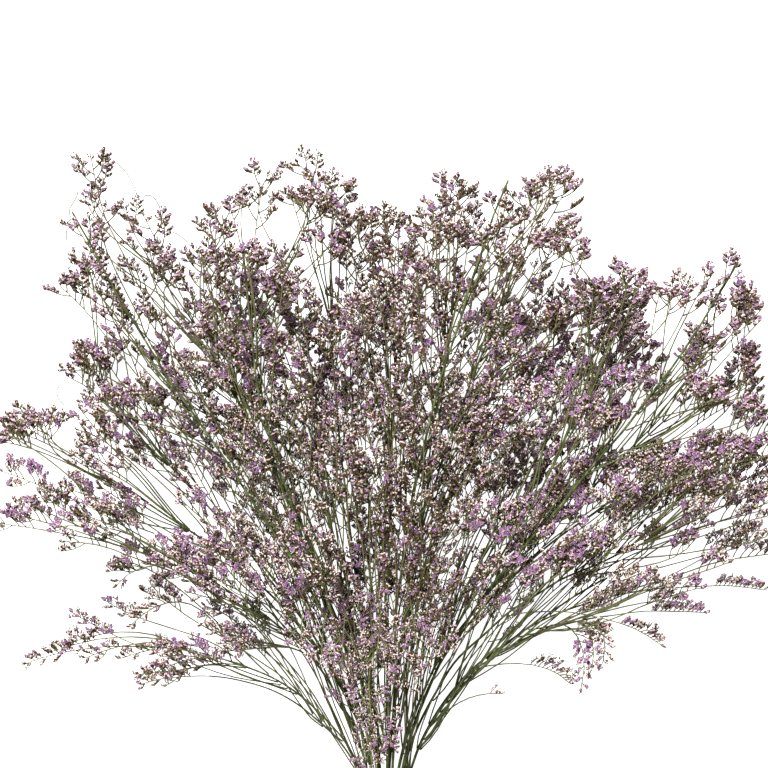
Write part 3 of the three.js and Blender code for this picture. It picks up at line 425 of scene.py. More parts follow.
# ---- what one stem grows ----
class Growth:
    """The stalks and florets of one stem, as points for the growing trees."""

    CLEAR_OF_TABLE = 0.3

    def __init__(self):
        self.stalks = []  # each: places, radii, tone
        self.florets = []  # each: place, facing, size, tone, kind

    def stalk(self, path, first, last, tone, rings, root=None):
        """A stalk along a path. A root is the place inside the stem that it starts from."""
        shares = evenly(rings, 0, 1)
        places = [path.at(share) for share in shares]
        radii = [lerp(first, last, share) for share in shares]
        if root:
            places.insert(0, root)
            radii.insert(0, first)
        for place in places:
            place.z = max(place.z, last + self.CLEAR_OF_TABLE)
        self.stalks.append((places, radii, tone))

    def scale_leaf(self, path, size, tone):
        """The small pointed leaf that clasps the joint at a branch's foot."""
        place = path.at(0)
        place.z = max(place.z, size * SCALE_LEAF_REST)
        facing = (path.along(0) + UP * SCALE_LEAF_LIFT).normalized()
        self.florets.append((place, facing, size, tone, SCALE))

    def floret(self, place, facing, tone, draw):
        """One flower: a bud, an open calyx, or a calyx with its petals out."""
        fresh = within(tone)
        cap = cap_share(place)
        local = bloom_and_painted_shade(place)
        bloom = noise.noise(place / BLOOM_SIZE + NOISE_OFFSET)
        bloom += PATCH_BLOOM * noise.noise(place / PATCH_SIZE + NOISE_OFFSET)
        bloom += FRESH_BLOOM * (fresh - 0.5) + CAP_BLOOM * cap + local
        petals = FULL_PETALS if bloom > FULL_BLOOM else EDGE_PETALS if bloom > EDGE_BLOOM else FEW_PETALS
        petals *= lerp(1, CAP_PETALS, cap)
        # more closed, dark buds where there are fewer petals: in the fan's middle this is partly painted
        # shade
        closed = max(cap, min(-2 * local, 1))
        buds = (1 - petals) * lerp(lerp(OLD_BUDS, FRESH_BUDS, fresh), MOST_BUDS, closed)
        kind = draw.choices((BUD, CALYX, OPEN), (buds, 1 - petals - buds, petals))[0]
        size = FLORET_LENGTH * KIND_SIZES[kind] * draw.uniform(*FLORET_SIZES)
        away = max(place.y - LOW_Y, abs(place.x) - LOW_SIDE) / LOW_SPAN
        size *= lerp(LOW_FLORETS, 1, within(away))
        facing = facing + Vector([draw.uniform(-FACING_SWAY, FACING_SWAY) for _ in range(3)])
        place.z = max(place.z, LOWEST_FLORET)
        facing.z = max(facing.z, TABLE_FACING - place.z / TABLE_FADE)
        own_tone = fresh + draw.uniform(-TONE_SWAY, TONE_SWAY)
        self.florets.append((place, facing.normalized(), size, own_tone, kind))

    def spike(self, foot, tip, upward, tone, draw):
        """A thin stalk with florets in two close rows along its upper side, past its bare foot."""
        tip.z = max(tip.z, LOWEST_FLORET)
        bend = foot.lerp(tip, 0.5) - upward * SPIKE_SAG * (tip - foot).length
        path = Path(foot, bend, tip)
        self.stalk(path, SPIKE_RADIUS, SPIKE_END, tone, SPIKE_RINGS)
        pairs = max(round(path.length * (1 - SPIKE_BARE) / PAIR_PITCH), 2)
        for share in evenly(pairs, SPIKE_BARE, 1):
            heading = path.along(share)
            upper = upward - heading * upward.dot(heading)
            if upper.length < STEEPEST:
                upper = UP - heading * heading.z
            upper.normalize()
            side = heading.cross(upper)
            for hand in (-1, 1):
                facing = heading * PAIR_FORWARD + upper * PAIR_UPWARD
                facing += side * hand * draw.uniform(*PAIR_OUTWARD)
                place = path.at(share) + side * hand * PAIR_WIDTH
                place += heading * draw.uniform(-PAIR_SWAY, PAIR_SWAY)
                self.floret(place, facing, tone + draw.uniform(-PAIR_TONE_SWAY, PAIR_TONE_SWAY), draw)

    def twig(self, foot, away, forward, length, tone, draw, cap):
        """A side twig that curves forward and carries spikes on its outer part."""
        tip = foot + away + forward
        tip.z = max(tip.z, LOWEST_TWIG)
        path = Path(foot, foot + away * TWIG_BEND_OUTWARD + forward * TWIG_BEND_FORWARD, tip)
        radius, end_radius = lerp(TWIG_RADIUS, CAP_TWIG_RADIUS, cap), lerp(TWIG_END, CAP_TWIG_END, cap)
        self.stalk(path, radius, end_radius, tone, TWIG_RINGS)
        self.scale_leaf(path, SMALL_SCALE_LEAF, tone)
        self.limb(path, lerp(TWIG_FLOWERING, CAP_TWIG_FLOWERING, cap) * length,
                  lerp(SPIKE_PITCH, CAP_PITCH, cap), SPIKE_LENGTH, tone, draw)

    def limb(self, path, flowering, pitch, longest, tone, draw):
        """Sets twigs and spikes on the outer part of a branch or twig, shorter towards its tip."""
        bare = max(1 - flowering / path.length, LEAST_BARE)
        count = max(round(flowering / pitch), 2)
        cap = cap_share(path.at(1))
        if longest > SPIKE_LENGTH:
            longest = lerp(longest, CAP_TWIG, cap)
        for i, share in enumerate(evenly(count, bare, LAST_TWIG)):
            along, side, up = path.across(share)
            turn = math.radians(draw.uniform(-TURN_SWAY, TURN_SWAY)) + (math.pi if i % 2 else 0)
            outward = (side * math.cos(turn) + up * FLATNESS * math.sin(turn)).normalized()
            if abs(along.x) > LEANING_OVER and outward.y < 0 and i % 4 != 3:
                outward = -outward
            above = (1 - share) * path.length
            reach = min(SHORTEST_TWIG + lerp(TWIG_GAIN, CAP_TWIG_GAIN, cap) * above, longest)
            length = reach * draw.uniform(lerp(LEAST_LENGTH, CAP_LEAST_LENGTH, cap), MOST_LENGTH)
            spread = TWIG_ANGLE if length > LONGEST_SPIKE else SPIKE_ANGLE
            angle = math.radians(spread + draw.uniform(-ANGLE_SWAY, ANGLE_SWAY))
            away = outward * length * math.sin(angle)
            forward = along * length * math.cos(angle)
            foot = path.at(share)
            upward = along * FLOWERING_ALONG + outward * FLOWERING_OUTWARD + TOPWARD * FLOWERING_TOPWARD
            upward = (upward + UP * draw.uniform(*FLOWERING_UP)).normalized()
            own_tone = tone + draw.uniform(-TWIG_TONE_SWAY, TWIG_TONE_SWAY)
            if length > LONGEST_SPIKE:
                self.twig(foot, away, forward, length, own_tone, draw, cap)
            else:
                tip = foot + away + forward
                tip.y = lerp(tip.y, foot.y + 1, CAP_LEVEL * cap)
                self.spike(foot, tip, upward.lerp(TOPWARD, CAP_UPWARD * cap), own_tone, draw)
        along, side, up = path.across(1)
        end = path.at(1)
        last = (along + side * draw.uniform(-LAST_SPIKE_SWAY, LAST_SPIKE_SWAY)) * SPIKE_LENGTH * LAST_SPIKE
        self.spike(end, end + last, TOPWARD, tone, draw)

    def bare_branch(self, path, radius, end_radius, tone):
        rings = max(round(path.length / RING_PITCH), FEWEST_RINGS)
        self.stalk(path, radius, end_radius, tone, rings, path.root)
        self.scale_leaf(path, SCALE_LEAF, tone)

    def branch(self, path, flowering, radius, tone, draw):
        """A branch whose outer part flowers in full, spreading twigs."""
        self.bare_branch(path, radius, BRANCH_END, tone)
        flowering *= lerp(1, CAP_FLOWERING, cap_share(path.at(1)))
        self.limb(path, flowering, TWIG_PITCH, LONGEST_TWIG, tone, draw)

    def sprig(self, path, flowering, radius, tone, draw):
        """A fine branch at the edge of the fan, whose short twigs make a narrow wedge."""
        self.bare_branch(path, radius, SPRIG_END, tone)
        tip = path.at(1)
        pitch, longest = SPRIG_PITCH, LONGEST_SPRIG_TWIG
        if tip.y < LOW_SPRIGS and abs(tip.x) > SIDES_FROM:
            pitch, longest = FINE_PITCH, LONGEST_FINE_TWIG
        flowering *= lerp(1, CAP_FLOWERING, cap_share(tip))
        self.limb(path, flowering, pitch, longest, tone, draw)

    def edge_or_middle(self, path, flowering, radius, tone, draw):
        tip = path.at(1)
        if inside(tip.x, tip.y, FAN_OUTLINE):
            self.branch(path, min(flowering, LONGEST_HEAD), radius, tone, draw)
        else:
            self.sprig(path, min(flowering, LONGEST_EDGE_HEAD), radius, tone, draw)


def inside(x, y, outline):
    """Whether a place lies inside an outline."""
    crossings = 0
    for (ax, ay), (bx, by) in zip(outline, outline[1:] + outline[:1]):
        if (ay > y) != (by > y) and x < ax + (y - ay) * (bx - ax) / (by - ay):
            crossings += 1
    return crossings % 2 == 1


def chances_of(*numbers):
    """The chances of one branch, which stay as they are when others are added or left out."""
    return random.Random(f"{SEED} {numbers}")


def branch_tips():
    """The places of the finer side branches' tips: rows across the fan, a little out of line."""
    tips = []
    row_height = TIP_PITCH * math.sqrt(3) / 2
    for row in range(-TIP_ROWS, TIP_ROWS + 1):
        for column in range(-TIP_ROWS, TIP_ROWS + 1):
            draw = chances_of(row, column)
            x = (column + (0.5 if row % 2 else 0)) * TIP_PITCH + draw.uniform(-TIP_SWAY, TIP_SWAY) * TIP_PITCH
            y = ROWS_Y + row * row_height + draw.uniform(-TIP_SWAY, TIP_SWAY) * TIP_PITCH
            airy = any(math.hypot(x - ax, y - ay) < radius for ax, ay, radius in AIRY_PLACES)
            if inside(x, y, FAN_OUTLINE) and not airy:
                tips.append((x, y, draw))
    return tips


def tone_at(place, draw):
    """How fresh the flowers are here: old at the top and right, with petals low and left, in patches; older
    and darker in the fan's middle as painted shade.
    """
    age = 0.5 + AGED_UPWARD * (place.y - AGED_ABOVE_Y) + AGED_RIGHT * place.x
    patch = noise.noise(place / PATCH_SIZE) * PATCH_FRESHNESS
    # painted shade: older, darker florets in the fan's middle, where there are fewer petals
    patch += BLOOM_AND_SHADE_FRESHNESS * bloom_and_painted_shade(place)
    return within(1 - age + patch + draw.uniform(-BRANCH_FRESHNESS, BRANCH_FRESHNESS), OLDEST, FRESHEST)


def cap_share(place):
    """How far the sprigs here end in level caps of flowers, as they do along the fan's upper edge."""
    out = (math.hypot(CAP_WIDTH_SHARE * place.x, place.y - CAP_CENTRE_Y) - CAPS_FROM) / CAPS_BY
    return within(min(out, (place.y - CAPS_ABOVE) / CAPS_BY))


def bloom_and_painted_shade(place):
    """How many more petals this part of the fan has than the rest, or how many fewer; the fewer in the fan's
    middle are partly painted shade.
    """
    return sum(more * max(1 - math.hypot(place.x - x, place.y - y) / radius, 0)
               for x, y, radius, more in BLOOM_AND_SHADE_PLACES)


def drawn_in(tip, lean):
    """A tip set back along its branch, as far as its flowers gather in a cap at the end."""
    return tip - CAP_DEPTH * cap_share(tip) * leaning(lean)


def seen_at(x, y, z):
    """A tip at this height that looks from above to be at x and y on the level of the bunch's middle."""
    nearer = (z - MIDDLE_HEIGHT) / CAMERA_DISTANCE
    return Vector((x * (1 - nearer), y + (VIEW_Y - y) * nearer, z))


def best_parent(tip, reach, axes, growths):
    """The stem, and the place on it, that a side branch of this length would grow from."""
    best = None
    for i, axis in enumerate(axes):
        for place in evenly(BRANCH_PLACES, LOWEST_FOOT, HIGHEST_FOOT):
            away = tip - axis.at(place)
            angle = away.angle(axis.along(place))
            cost = abs(away.length - reach) / reach + ANGLE_COST * angle + len(growths[i].florets) / FULL_STEM
            if best is None or cost < best[0]:
                best = (cost, i, place)
    return best[1:]


def nearest_place(foot, axes):
    """The stem, and the place on it, that passes nearest to a place as seen from above."""
    shares = evenly(ARCH_PLACES, LOWEST_ARCH_FOOT, HIGHEST_FOOT)
    places = [(i, share) for i in range(len(axes)) for share in shares]
    return min(places, key=lambda p: (axes[p[0]].at(p[1]).xy - Vector(foot)).length)


def radius_at(stem, place):
    return STEMS[stem][2] * lerp(1, STEM_TAPER, place)


def grow_bunch():
    axes = [stem_axis(tip, lean, slot) for tip, lean, _, slot, _ in STEMS]
    growths = [Growth() for _ in STEMS]
    for i, (_, _, radius, _, stub) in enumerate(STEMS):
        if not stub:
            draw = chances_of(i)
            end = lerp(1, CAP_STEM_END, cap_share(axes[i].at(1)))
            path = Path(*axes[i].controls, start=STEM_SHARE, end=end)
            tone = tone_at(path.at(1), draw)
            flowering = TOP_FLOWERING * path.length
            growths[i].edge_or_middle(path, flowering, radius * TOP_RADIUS_SHARE, tone, draw)
    for stem, place, tip, lean in SIDE_SPRAYS:
        draw = chances_of(*tip)
        i = stem - 1
        path = side_axis(axes[i], place, drawn_in(Vector(tip), lean), lean, radius_at(i, place))
        tone = tone_at(path.at(1), draw)
        growths[i].edge_or_middle(path, SPRAY_FLOWERING * path.length, SPRAY_RADIUS, tone, draw)
    for x, y, lean, flowering, reach in OUTER_SPRIGS:
        draw = chances_of(x, y)
        tip = seen_at(x, y, draw.uniform(LOWEST_TIP, HIGHEST_TIP)) - HEAD_DEPTH * leaning(lean)
        tip = drawn_in(tip, lean)
        i, place = best_parent(tip, reach, axes, growths)
        path = side_axis(axes[i], place, tip, lean, radius_at(i, place))
        growths[i].sprig(path, flowering, BRANCH_RADIUS, tone_at(tip, draw), draw)
    for foot, first, last, tip, height, flowering in ARCHED_SPRIGS:
        draw = chances_of(*tip)
        i, place = nearest_place(foot, axes)
        start = axes[i].at(place)
        middle = lerp(start.z, height, 0.5)
        path = Path(start, Vector((*first, middle)), Vector((*last, height)), Vector((*tip, height)))
        growths[i].sprig(path, flowering, BRANCH_RADIUS, tone_at(path.at(1), draw), draw)
    for x, y, draw in branch_tips():
        tip = Vector((x, y, draw.uniform(LOWEST_TIP, HIGHEST_MIDDLE)))
        reach = draw.uniform(*BRANCH_REACH)
        i, place = best_parent(tip, reach, axes, growths)
        spread = math.degrees(math.atan2(x - BAND_X, y - BAND_Y))
        lean = spread * lerp(1, LEAN_GAIN, min(abs(x) / LEAN_SIDE, 1)) + draw.uniform(-LEAN_SWAY, LEAN_SWAY)
        path = side_axis(axes[i], place, drawn_in(tip, lean), lean, radius_at(i, place))
        growths[i].branch(path, draw.uniform(*BRANCH_FLOWERING), BRANCH_RADIUS, tone_at(tip, draw), draw)
    for i, controls in THREADS:
        path = Path(*[Vector(place) for place in controls])
        growths[i].stalk(path, THREAD_RADIUS, THREAD_END, 0, THREAD_RINGS)
    return axes, growths


def settled(place):
    """Where a place of the straight growth lies once the dried plant has warped, but for the tied part."""
    share = within((place.y - SETTLED_FROM) / SETTLED_BY)
    moved = place + noise.noise_vector(place / WAVE_SIZE) * WAVE * share
    moved.z = max(moved.z, min(place.z, moved.z + WAVE))
    return moved


# ---- growing trees ----
def linear(code):
    """An sRGB hex colour as linear values."""
    values = [int(code[i:i + 2], 16) / 255 for i in (1, 3, 5)]
    return [v / 12.92 if v <= 0.04045 else ((v + 0.055) / 1.055) ** 2.4 for v in values] + [1]


def add_node(tree, kind, inputs=None, stops=(), **settings):
    """Adds a node with its settings and colour stops, and sets or links its inputs by name or number.

    A node given as an input is linked by its first output.
    """
    node = tree.nodes.new(kind)
    for key, value in settings.items():
        setattr(node, key, value)
    if stops:
        marks = node.color_ramp.elements
        while len(marks) < len(stops):
            marks.new(0.5)
        for mark, (place, code) in zip(marks, stops):
            mark.position = place
            mark.color = linear(code)
    for key, value in (inputs or {}).items():
        if isinstance(value, bpy.types.Node):
            value = value.outputs[0]
        if isinstance(value, bpy.types.NodeSocket):
            tree.links.new(value, node.inputs[key])
        else:
            node.inputs[key].default_value = value
    return node


def new_tree(name, inputs):
    """An empty growing tree and its inputs: the geometry, and then the ones named here."""
    tree = bpy.data.node_groups.new(name, "GeometryNodeTree")
    tree.interface.new_socket("Geometry", in_out="INPUT", socket_type="NodeSocketGeometry")
    for label, kind in inputs:
        tree.interface.new_socket(label, in_out="INPUT", socket_type=kind)
    tree.interface.new_socket("Geometry", in_out="OUTPUT", socket_type="NodeSocketGeometry")
    return tree, tree.nodes.new("NodeGroupInput").outputs


def finish_tree(tree, geometry, material):
    real = add_node(tree, "GeometryNodeRealizeInstances", {"Geometry": geometry})
    dressed = add_node(tree, "GeometryNodeSetMaterial", {"Geometry": real, "Material": material})
    add_node(tree, "NodeGroupOutput", {0: dressed})


def store_map(tree, geometry, across, along):
    """Keeps the flat map, named OFBake, that the colours are read through."""
    place = add_node(tree, "ShaderNodeCombineXYZ", {0: across, 1: along})
    return add_node(tree, "GeometryNodeStoreNamedAttribute",
                    {"Geometry": geometry, "Name": "OFBake", "Value": place},
                    data_type="FLOAT2", domain="CORNER")


def stalk_tree():
    """Sweeps a round section along every path, as thick as the path says."""
    tree, given = new_tree("grow_stalks", [("Sides", "NodeSocketInt"), ("Tone width", "NodeSocketFloat"),
                                           ("Material", "NodeSocketMaterial")])
    paths = add_node(tree, "GeometryNodeMeshToCurve", {0: given["Geometry"]})
    circle = add_node(tree, "GeometryNodeCurvePrimitiveCircle", {"Resolution": given["Sides"], "Radius": 1.0})
    index = add_node(tree, "GeometryNodeInputIndex")
    last = add_node(tree, "ShaderNodeMath", {0: given["Sides"], 1: 1.0}, operation="SUBTRACT")
    turn = add_node(tree, "ShaderNodeMath", {0: index, 1: last}, operation="DIVIDE")
    section = add_node(tree, "GeometryNodeStoreNamedAttribute",
                       {"Geometry": circle, "Name": "around", "Value": turn},
                       data_type="FLOAT", domain="POINT")
    radius, around, tone, along = [
        add_node(tree, "GeometryNodeInputNamedAttribute", {"Name": name}, data_type="FLOAT")
        for name in ("radius", "around", "tone", "along")]
    swept = add_node(tree, "GeometryNodeCurveToMesh",
                     {"Curve": paths, "Profile Curve": section, "Scale": radius, "Fill Caps": True})
    across = add_node(tree, "ShaderNodeMath", {0: around, 1: given["Tone width"], 2: tone},
                      operation="MULTIPLY_ADD")
    half_turn = add_node(tree, "ShaderNodeMath", {0: around, 1: math.pi}, operation="MULTIPLY")
    bulge = add_node(tree, "ShaderNodeMath", {0: half_turn}, operation="SINE")
    lengthwise = add_node(tree, "ShaderNodeMath", {0: bulge, 1: MAP_BULGE, 2: along},
                          operation="MULTIPLY_ADD")
    mapped = store_map(tree, swept, across, lengthwise)
    smooth = add_node(tree, "GeometryNodeSetShadeSmooth", {"Geometry": mapped})
    finish_tree(tree, smooth, given["Material"])
    return tree


def floret_tree():
    """Sets a floret on every point, turned the way the point faces."""
    tree, given = new_tree("set_florets", [("Shapes", "NodeSocketCollection"),
                                           ("Tone width", "NodeSocketFloat"),
                                           ("Seed", "NodeSocketInt"), ("Material", "NodeSocketMaterial")])
    shapes = add_node(tree, "GeometryNodeCollectionInfo",
                      {"Collection": given["Shapes"], "Separate Children": True, "Reset Children": True})
    size, tone, kind, facing, cell = [
        add_node(tree, "GeometryNodeInputNamedAttribute", {"Name": name}, data_type=data_type)
        for name, data_type in (("size", "FLOAT"), ("tone", "FLOAT"), ("kind", "INT"),
                                ("facing", "FLOAT_VECTOR"), ("cell", "FLOAT_VECTOR"))]
    aligned = add_node(tree, "FunctionNodeAlignRotationToVector", {"Vector": facing}, axis="Z")
    spin = add_node(tree, "FunctionNodeRandomValue", {2: 0.0, 3: 2 * math.pi, "Seed": given["Seed"]},
                    data_type="FLOAT")
    turn = add_node(tree, "FunctionNodeAxisAngleToRotation", {"Axis": (0, 0, 1), "Angle": spin.outputs[1]})
    rotation = add_node(tree, "FunctionNodeRotateRotation", {"Rotation": aligned, "Rotate By": turn},
                        rotation_space="LOCAL")
    florets = add_node(tree, "GeometryNodeInstanceOnPoints",
                       {"Points": given["Geometry"], "Instance": shapes, "Pick Instance": True,
                        "Instance Index": kind, "Rotation": rotation, "Scale": size})
    real = add_node(tree, "GeometryNodeRealizeInstances", {"Geometry": florets})
    parts = add_node(tree, "ShaderNodeSeparateXYZ", {0: cell})
    across = add_node(tree, "ShaderNodeMath", {0: parts.outputs[0], 1: given["Tone width"], 2: tone},
                      operation="MULTIPLY_ADD")
    mapped = store_map(tree, real, across, parts.outputs[1])
    finish_tree(tree, mapped, given["Material"])
    return tree


def new_object(name, mesh):
    piece = bpy.data.objects.new(name, mesh)
    bpy.context.scene.collection.objects.link(piece)
    return piece


def grown(name, mesh, tree, inputs):
    """The plain mesh that a tree makes of a mesh of points or paths."""
    source = new_object(name + "_source", mesh)
    modifier = source.modifiers.new("grow", "NODES")
    modifier.node_group = tree
    for item in tree.interface.items_tree:
        if item.in_out == "INPUT" and item.name in inputs:
            modifier[item.identifier] = inputs[item.name]
    result = bpy.data.meshes.new_from_object(source.evaluated_get(bpy.context.evaluated_depsgraph_get()))
    bpy.data.objects.remove(source)
    for value in ("around", "radius", "tone", "along", "facing", "size", "kind", "cell"):
        if value in result.attributes:
            result.attributes.remove(result.attributes[value])
    result.uv_layers["OFBake"].active = True
    return new_object(name, result)


def put(mesh, name, kind, values, domain="POINT"):
    """Keeps a value for every point, or every face corner, under a name."""
    field = {"FLOAT": "value", "INT": "value", "FLOAT_VECTOR": "vector"}[kind]
    mesh.attributes.new(name, kind, domain).data.foreach_set(field, values)


def map_start(tone, width):
    """Where on the colour map's width a piece of this tone begins."""
    return within(tone) * (1 - width - 2 * MAP_EDGE) + MAP_EDGE


def path_mesh(stalks, width, cut=False):
    """The paths of stalks as a mesh of edges, with radius, tone and place along on every point."""
    places, edges, radii, tones, alongs = [], [], [], [], []
    for points, thick, tone in stalks:
        first = len(places)
        places += [settled(point) * MM for point in points]
        edges += [(first + i, first + i + 1) for i in range(len(points) - 1)]
        radii += [radius * MM for radius in thick]
        tones += [map_start(tone, width)] * len(points)
        if cut:
            alongs += [0.0, *evenly(len(points) - 2, *SKIN_ENDS), TOP_END]
        else:
            alongs += evenly(len(points), *MAP_ENDS)
    mesh = bpy.data.meshes.new("paths")
    mesh.from_pydata(places, edges, [])
    put(mesh, "radius", "FLOAT", radii)
    put(mesh, "tone", "FLOAT", tones)
    put(mesh, "along", "FLOAT", alongs)
    return mesh


def point_mesh(florets, width):
    """The florets as a mesh of points, with facing, size, tone and kind on every point."""
    places, facings, sizes, tones, kinds = zip(*florets)
    mesh = bpy.data.meshes.new("points")
    mesh.from_pydata([settled(place) * MM for place in places], [], [])
    put(mesh, "facing", "FLOAT_VECTOR", [part for facing in facings for part in facing])
    put(mesh, "size", "FLOAT", [size * MM for size in sizes])
    put(mesh, "tone", "FLOAT", [map_start(tone, width) for tone in tones])
    put(mesh, "kind", "INT", kinds)
    return mesh


# ---- floret shapes, one long ----
def turned_shape(name, rings, sides, notch=1):
    """A closed turned shape, with every other corner drawn in by the notch.

    rings holds height, radius and place on the colour map, from base to tip.
    """
    places, rows = [], []
    for height, radius, shade in rings:
        count = sides if radius else 1
        rows.append((len(places), count, shade))
        for i in range(count):
            angle = 2 * math.pi * i / sides
            wide = radius * (notch if i % 2 else 1)
            places.append((wide * math.cos(angle), wide * math.sin(angle), height))
    # each face corner: its point, its place across the map, its place along it
    faces = []
    for (low, low_count, low_shade), (high, high_count, high_shade) in zip(rows, rows[1:]):
        for i in range(sides):
            j = (i + 1) % sides
            left, right, middle = i / sides, (i + 1) / sides, (i + 0.5) / sides
            foot = [(low, middle, low_shade)]
            top = [(high, middle, high_shade)]
            if low_count > 1:
                foot = [(low + i, left, low_shade), (low + j, right, low_shade)]
            if high_count > 1:
                top = [(high + j, right, high_shade), (high + i, left, high_shade)]
            faces.append(foot + top)
    mesh = bpy.data.meshes.new(name)
    mesh.from_pydata(places, [], [[corner[0] for corner in face] for face in faces])
    cells = [value for face in faces for _, across, shade in face for value in (across, shade, 0)]
    put(mesh, "cell", "FLOAT_VECTOR", cells, "CORNER")
    return mesh


def floret_shapes():
    """A closed bud, an open papery calyx, a calyx with its petals out, and a scale leaf."""
    kinds = bpy.data.collections.new("floret_kinds")
    shapes = [
        turned_shape("a_bud", [(0, 0, 0.02), (0.6, 0.22, 0.2), (1, 0, 0.45)], 3),
        turned_shape("b_calyx", [(0, 0, 0.03), (1, 0.3, 0.57), (0.5, 0, 0.38)], 4, 0.6),
        turned_shape("c_open", [(0, 0, 0.03), (0.76, 0.45, 0.63), (1.05, 0, 1)], 5, 0.6),
        turned_shape("d_scale", [(-0.2, 0, 0.04), (0.2, 0.2, 0.12), (1, 0, 0.24)], 3),
    ]
    for mesh in shapes:
        kinds.objects.link(bpy.data.objects.new(mesh.name, mesh))
    return kinds


# ---- finishes ----
# A colour mix takes its colours at inputs 6 and 7 and gives its result at output 2.
def new_material(name, roughness):
    material = bpy.data.materials.new(name)
    material.use_nodes = True
    tree = material.node_tree
    shader = tree.nodes["Principled BSDF"]
    shader.inputs["Roughness"].default_value = roughness
    shader.inputs["Specular IOR Level"].default_value = SPECULAR
    return material, tree, shader


def map_parts(tree):
    """The places across and along the piece's flat map."""
    place = add_node(tree, "ShaderNodeUVMap", uv_map="OFBake")
    return add_node(tree, "ShaderNodeSeparateXYZ", {0: place}).outputs[:2]


def on_surface(tree, scale):
    """Places on the piece itself, stretched by a scale along each axis, per metre."""
    place = add_node(tree, "ShaderNodeTexCoord").outputs["Object"]
    return add_node(tree, "ShaderNodeVectorMath", {0: place, 1: scale}, operation="MULTIPLY")


def floret_finish():
    """Dried statice flowers: brown bracts, a papery calyx and thin faded petals, all matt.

    A floret's tone runs from old through ripe to fresh; the old calyx and petals are partly lightened as
    painted light on the upper part of the fan.
    """
    material, tree, shader = new_material("dried_statice_flower", FLOWER_ROUGHNESS)
    tone, along = map_parts(tree)
    old, ripe, fresh = [add_node(tree, "ShaderNodeValToRGB", {0: along}, stops)
                        for stops in (OLD_FLORET, RIPE_FLORET, FRESH_FLORET)]
    doubled = add_node(tree, "ShaderNodeMath", {0: tone, 1: 2.0}, operation="MULTIPLY")
    rest = add_node(tree, "ShaderNodeMath", {0: doubled, 1: 1.0}, operation="SUBTRACT")
    to_ripe = add_node(tree, "ShaderNodeClamp", {0: doubled})
    to_fresh = add_node(tree, "ShaderNodeClamp", {0: rest})
    older = add_node(tree, "ShaderNodeMix", {0: to_ripe, 6: old, 7: ripe}, data_type="RGBA")
    colour = add_node(tree, "ShaderNodeMix", {0: to_fresh, 6: older.outputs[2], 7: fresh}, data_type="RGBA")
    tree.links.new(colour.outputs[2], shader.inputs["Base Color"])
    return material


def stalk_finish():
    """Dried side branches and twigs: thin and wiry, olive green, browner on some and towards the flowers."""
    material, tree, shader = new_material("dried_statice_stalk", STALK_ROUGHNESS)
    tone, along = map_parts(tree)
    young, aged = [add_node(tree, "ShaderNodeValToRGB", {0: along}, stops)
                   for stops in (YOUNG_STALK, AGED_STALK)]
    colour = add_node(tree, "ShaderNodeMix", {0: tone, 6: aged, 7: young}, data_type="RGBA")
    tree.links.new(colour.outputs[2], shader.inputs["Base Color"])
    return material


def stem_finish():
    """Dried main stem: hard and wiry, finely ridged with painted shade in its grooves, dull green with paler
    streaks and brown flecks.

    The cut ends show pale dry pith.
    """
    material, tree, shader = new_material("dried_statice_stem", STEM_ROUGHNESS)
    around, along = map_parts(tree)
    streaks = add_node(tree, "ShaderNodeTexNoise",
                       {"Vector": on_surface(tree, STREAKS), "Scale": 1.0, "Detail": 4.0})
    green = add_node(tree, "ShaderNodeValToRGB", {0: streaks}, STEM_GREENS)
    flecks = add_node(tree, "ShaderNodeTexNoise",
                      {"Vector": on_surface(tree, FLECKS), "Scale": 1.0, "Detail": 2.0})
    fleck_share = add_node(tree, "ShaderNodeMapRange", {"Value": flecks, "From Min": 0.64, "From Max": 0.72,
                                                        "To Max": 0.7})
    flecked = add_node(tree, "ShaderNodeMix", {0: fleck_share, 6: green, 7: linear(STEM_FLECK)},
                       data_type="RGBA")
    # painted shade: the grooves between the ridges are darkened where the bump sinks
    angle = add_node(tree, "ShaderNodeMath", {0: around, 1: RIDGES * 2 * math.pi}, operation="MULTIPLY")
    ridge = add_node(tree, "ShaderNodeMath", {0: angle}, operation="SINE")
    groove_shade_share = add_node(tree, "ShaderNodeMapRange", {"Value": ridge, "From Min": -1.0, "From Max": 0.4,
                                                         "To Min": 0.3, "To Max": 0.0})
    ridged = add_node(tree, "ShaderNodeMix", {0: groove_shade_share, 6: flecked.outputs[2], 7: linear(STEM_GROOVE_SHADE)},
                      data_type="RGBA")
    from_middle = add_node(tree, "ShaderNodeMath", {0: along, 1: 0.5}, operation="SUBTRACT")
    distance = add_node(tree, "ShaderNodeMath", {0: from_middle}, operation="ABSOLUTE")
    skin_share = add_node(tree, "ShaderNodeMath", {0: distance, 1: SKIN_REACH}, operation="LESS_THAN")
    colour = add_node(tree, "ShaderNodeMix", {0: skin_share, 6: linear(CUT_FACE), 7: ridged.outputs[2]},
                      data_type="RGBA")
    tree.links.new(colour.outputs[2], shader.inputs["Base Color"])
    rough = add_node(tree, "ShaderNodeMapRange", {"Value": streaks, "From Min": 0.3, "From Max": 0.7,
                                                  "To Min": 0.5, "To Max": 0.78})
    tree.links.new(rough.outputs[0], shader.inputs["Roughness"])
    bump = add_node(tree, "ShaderNodeBump", {"Strength": 0.5, "Distance": RIDGE_DEPTH, "Height": ridge})
    tree.links.new(bump.outputs[0], shader.inputs["Normal"])
    return material


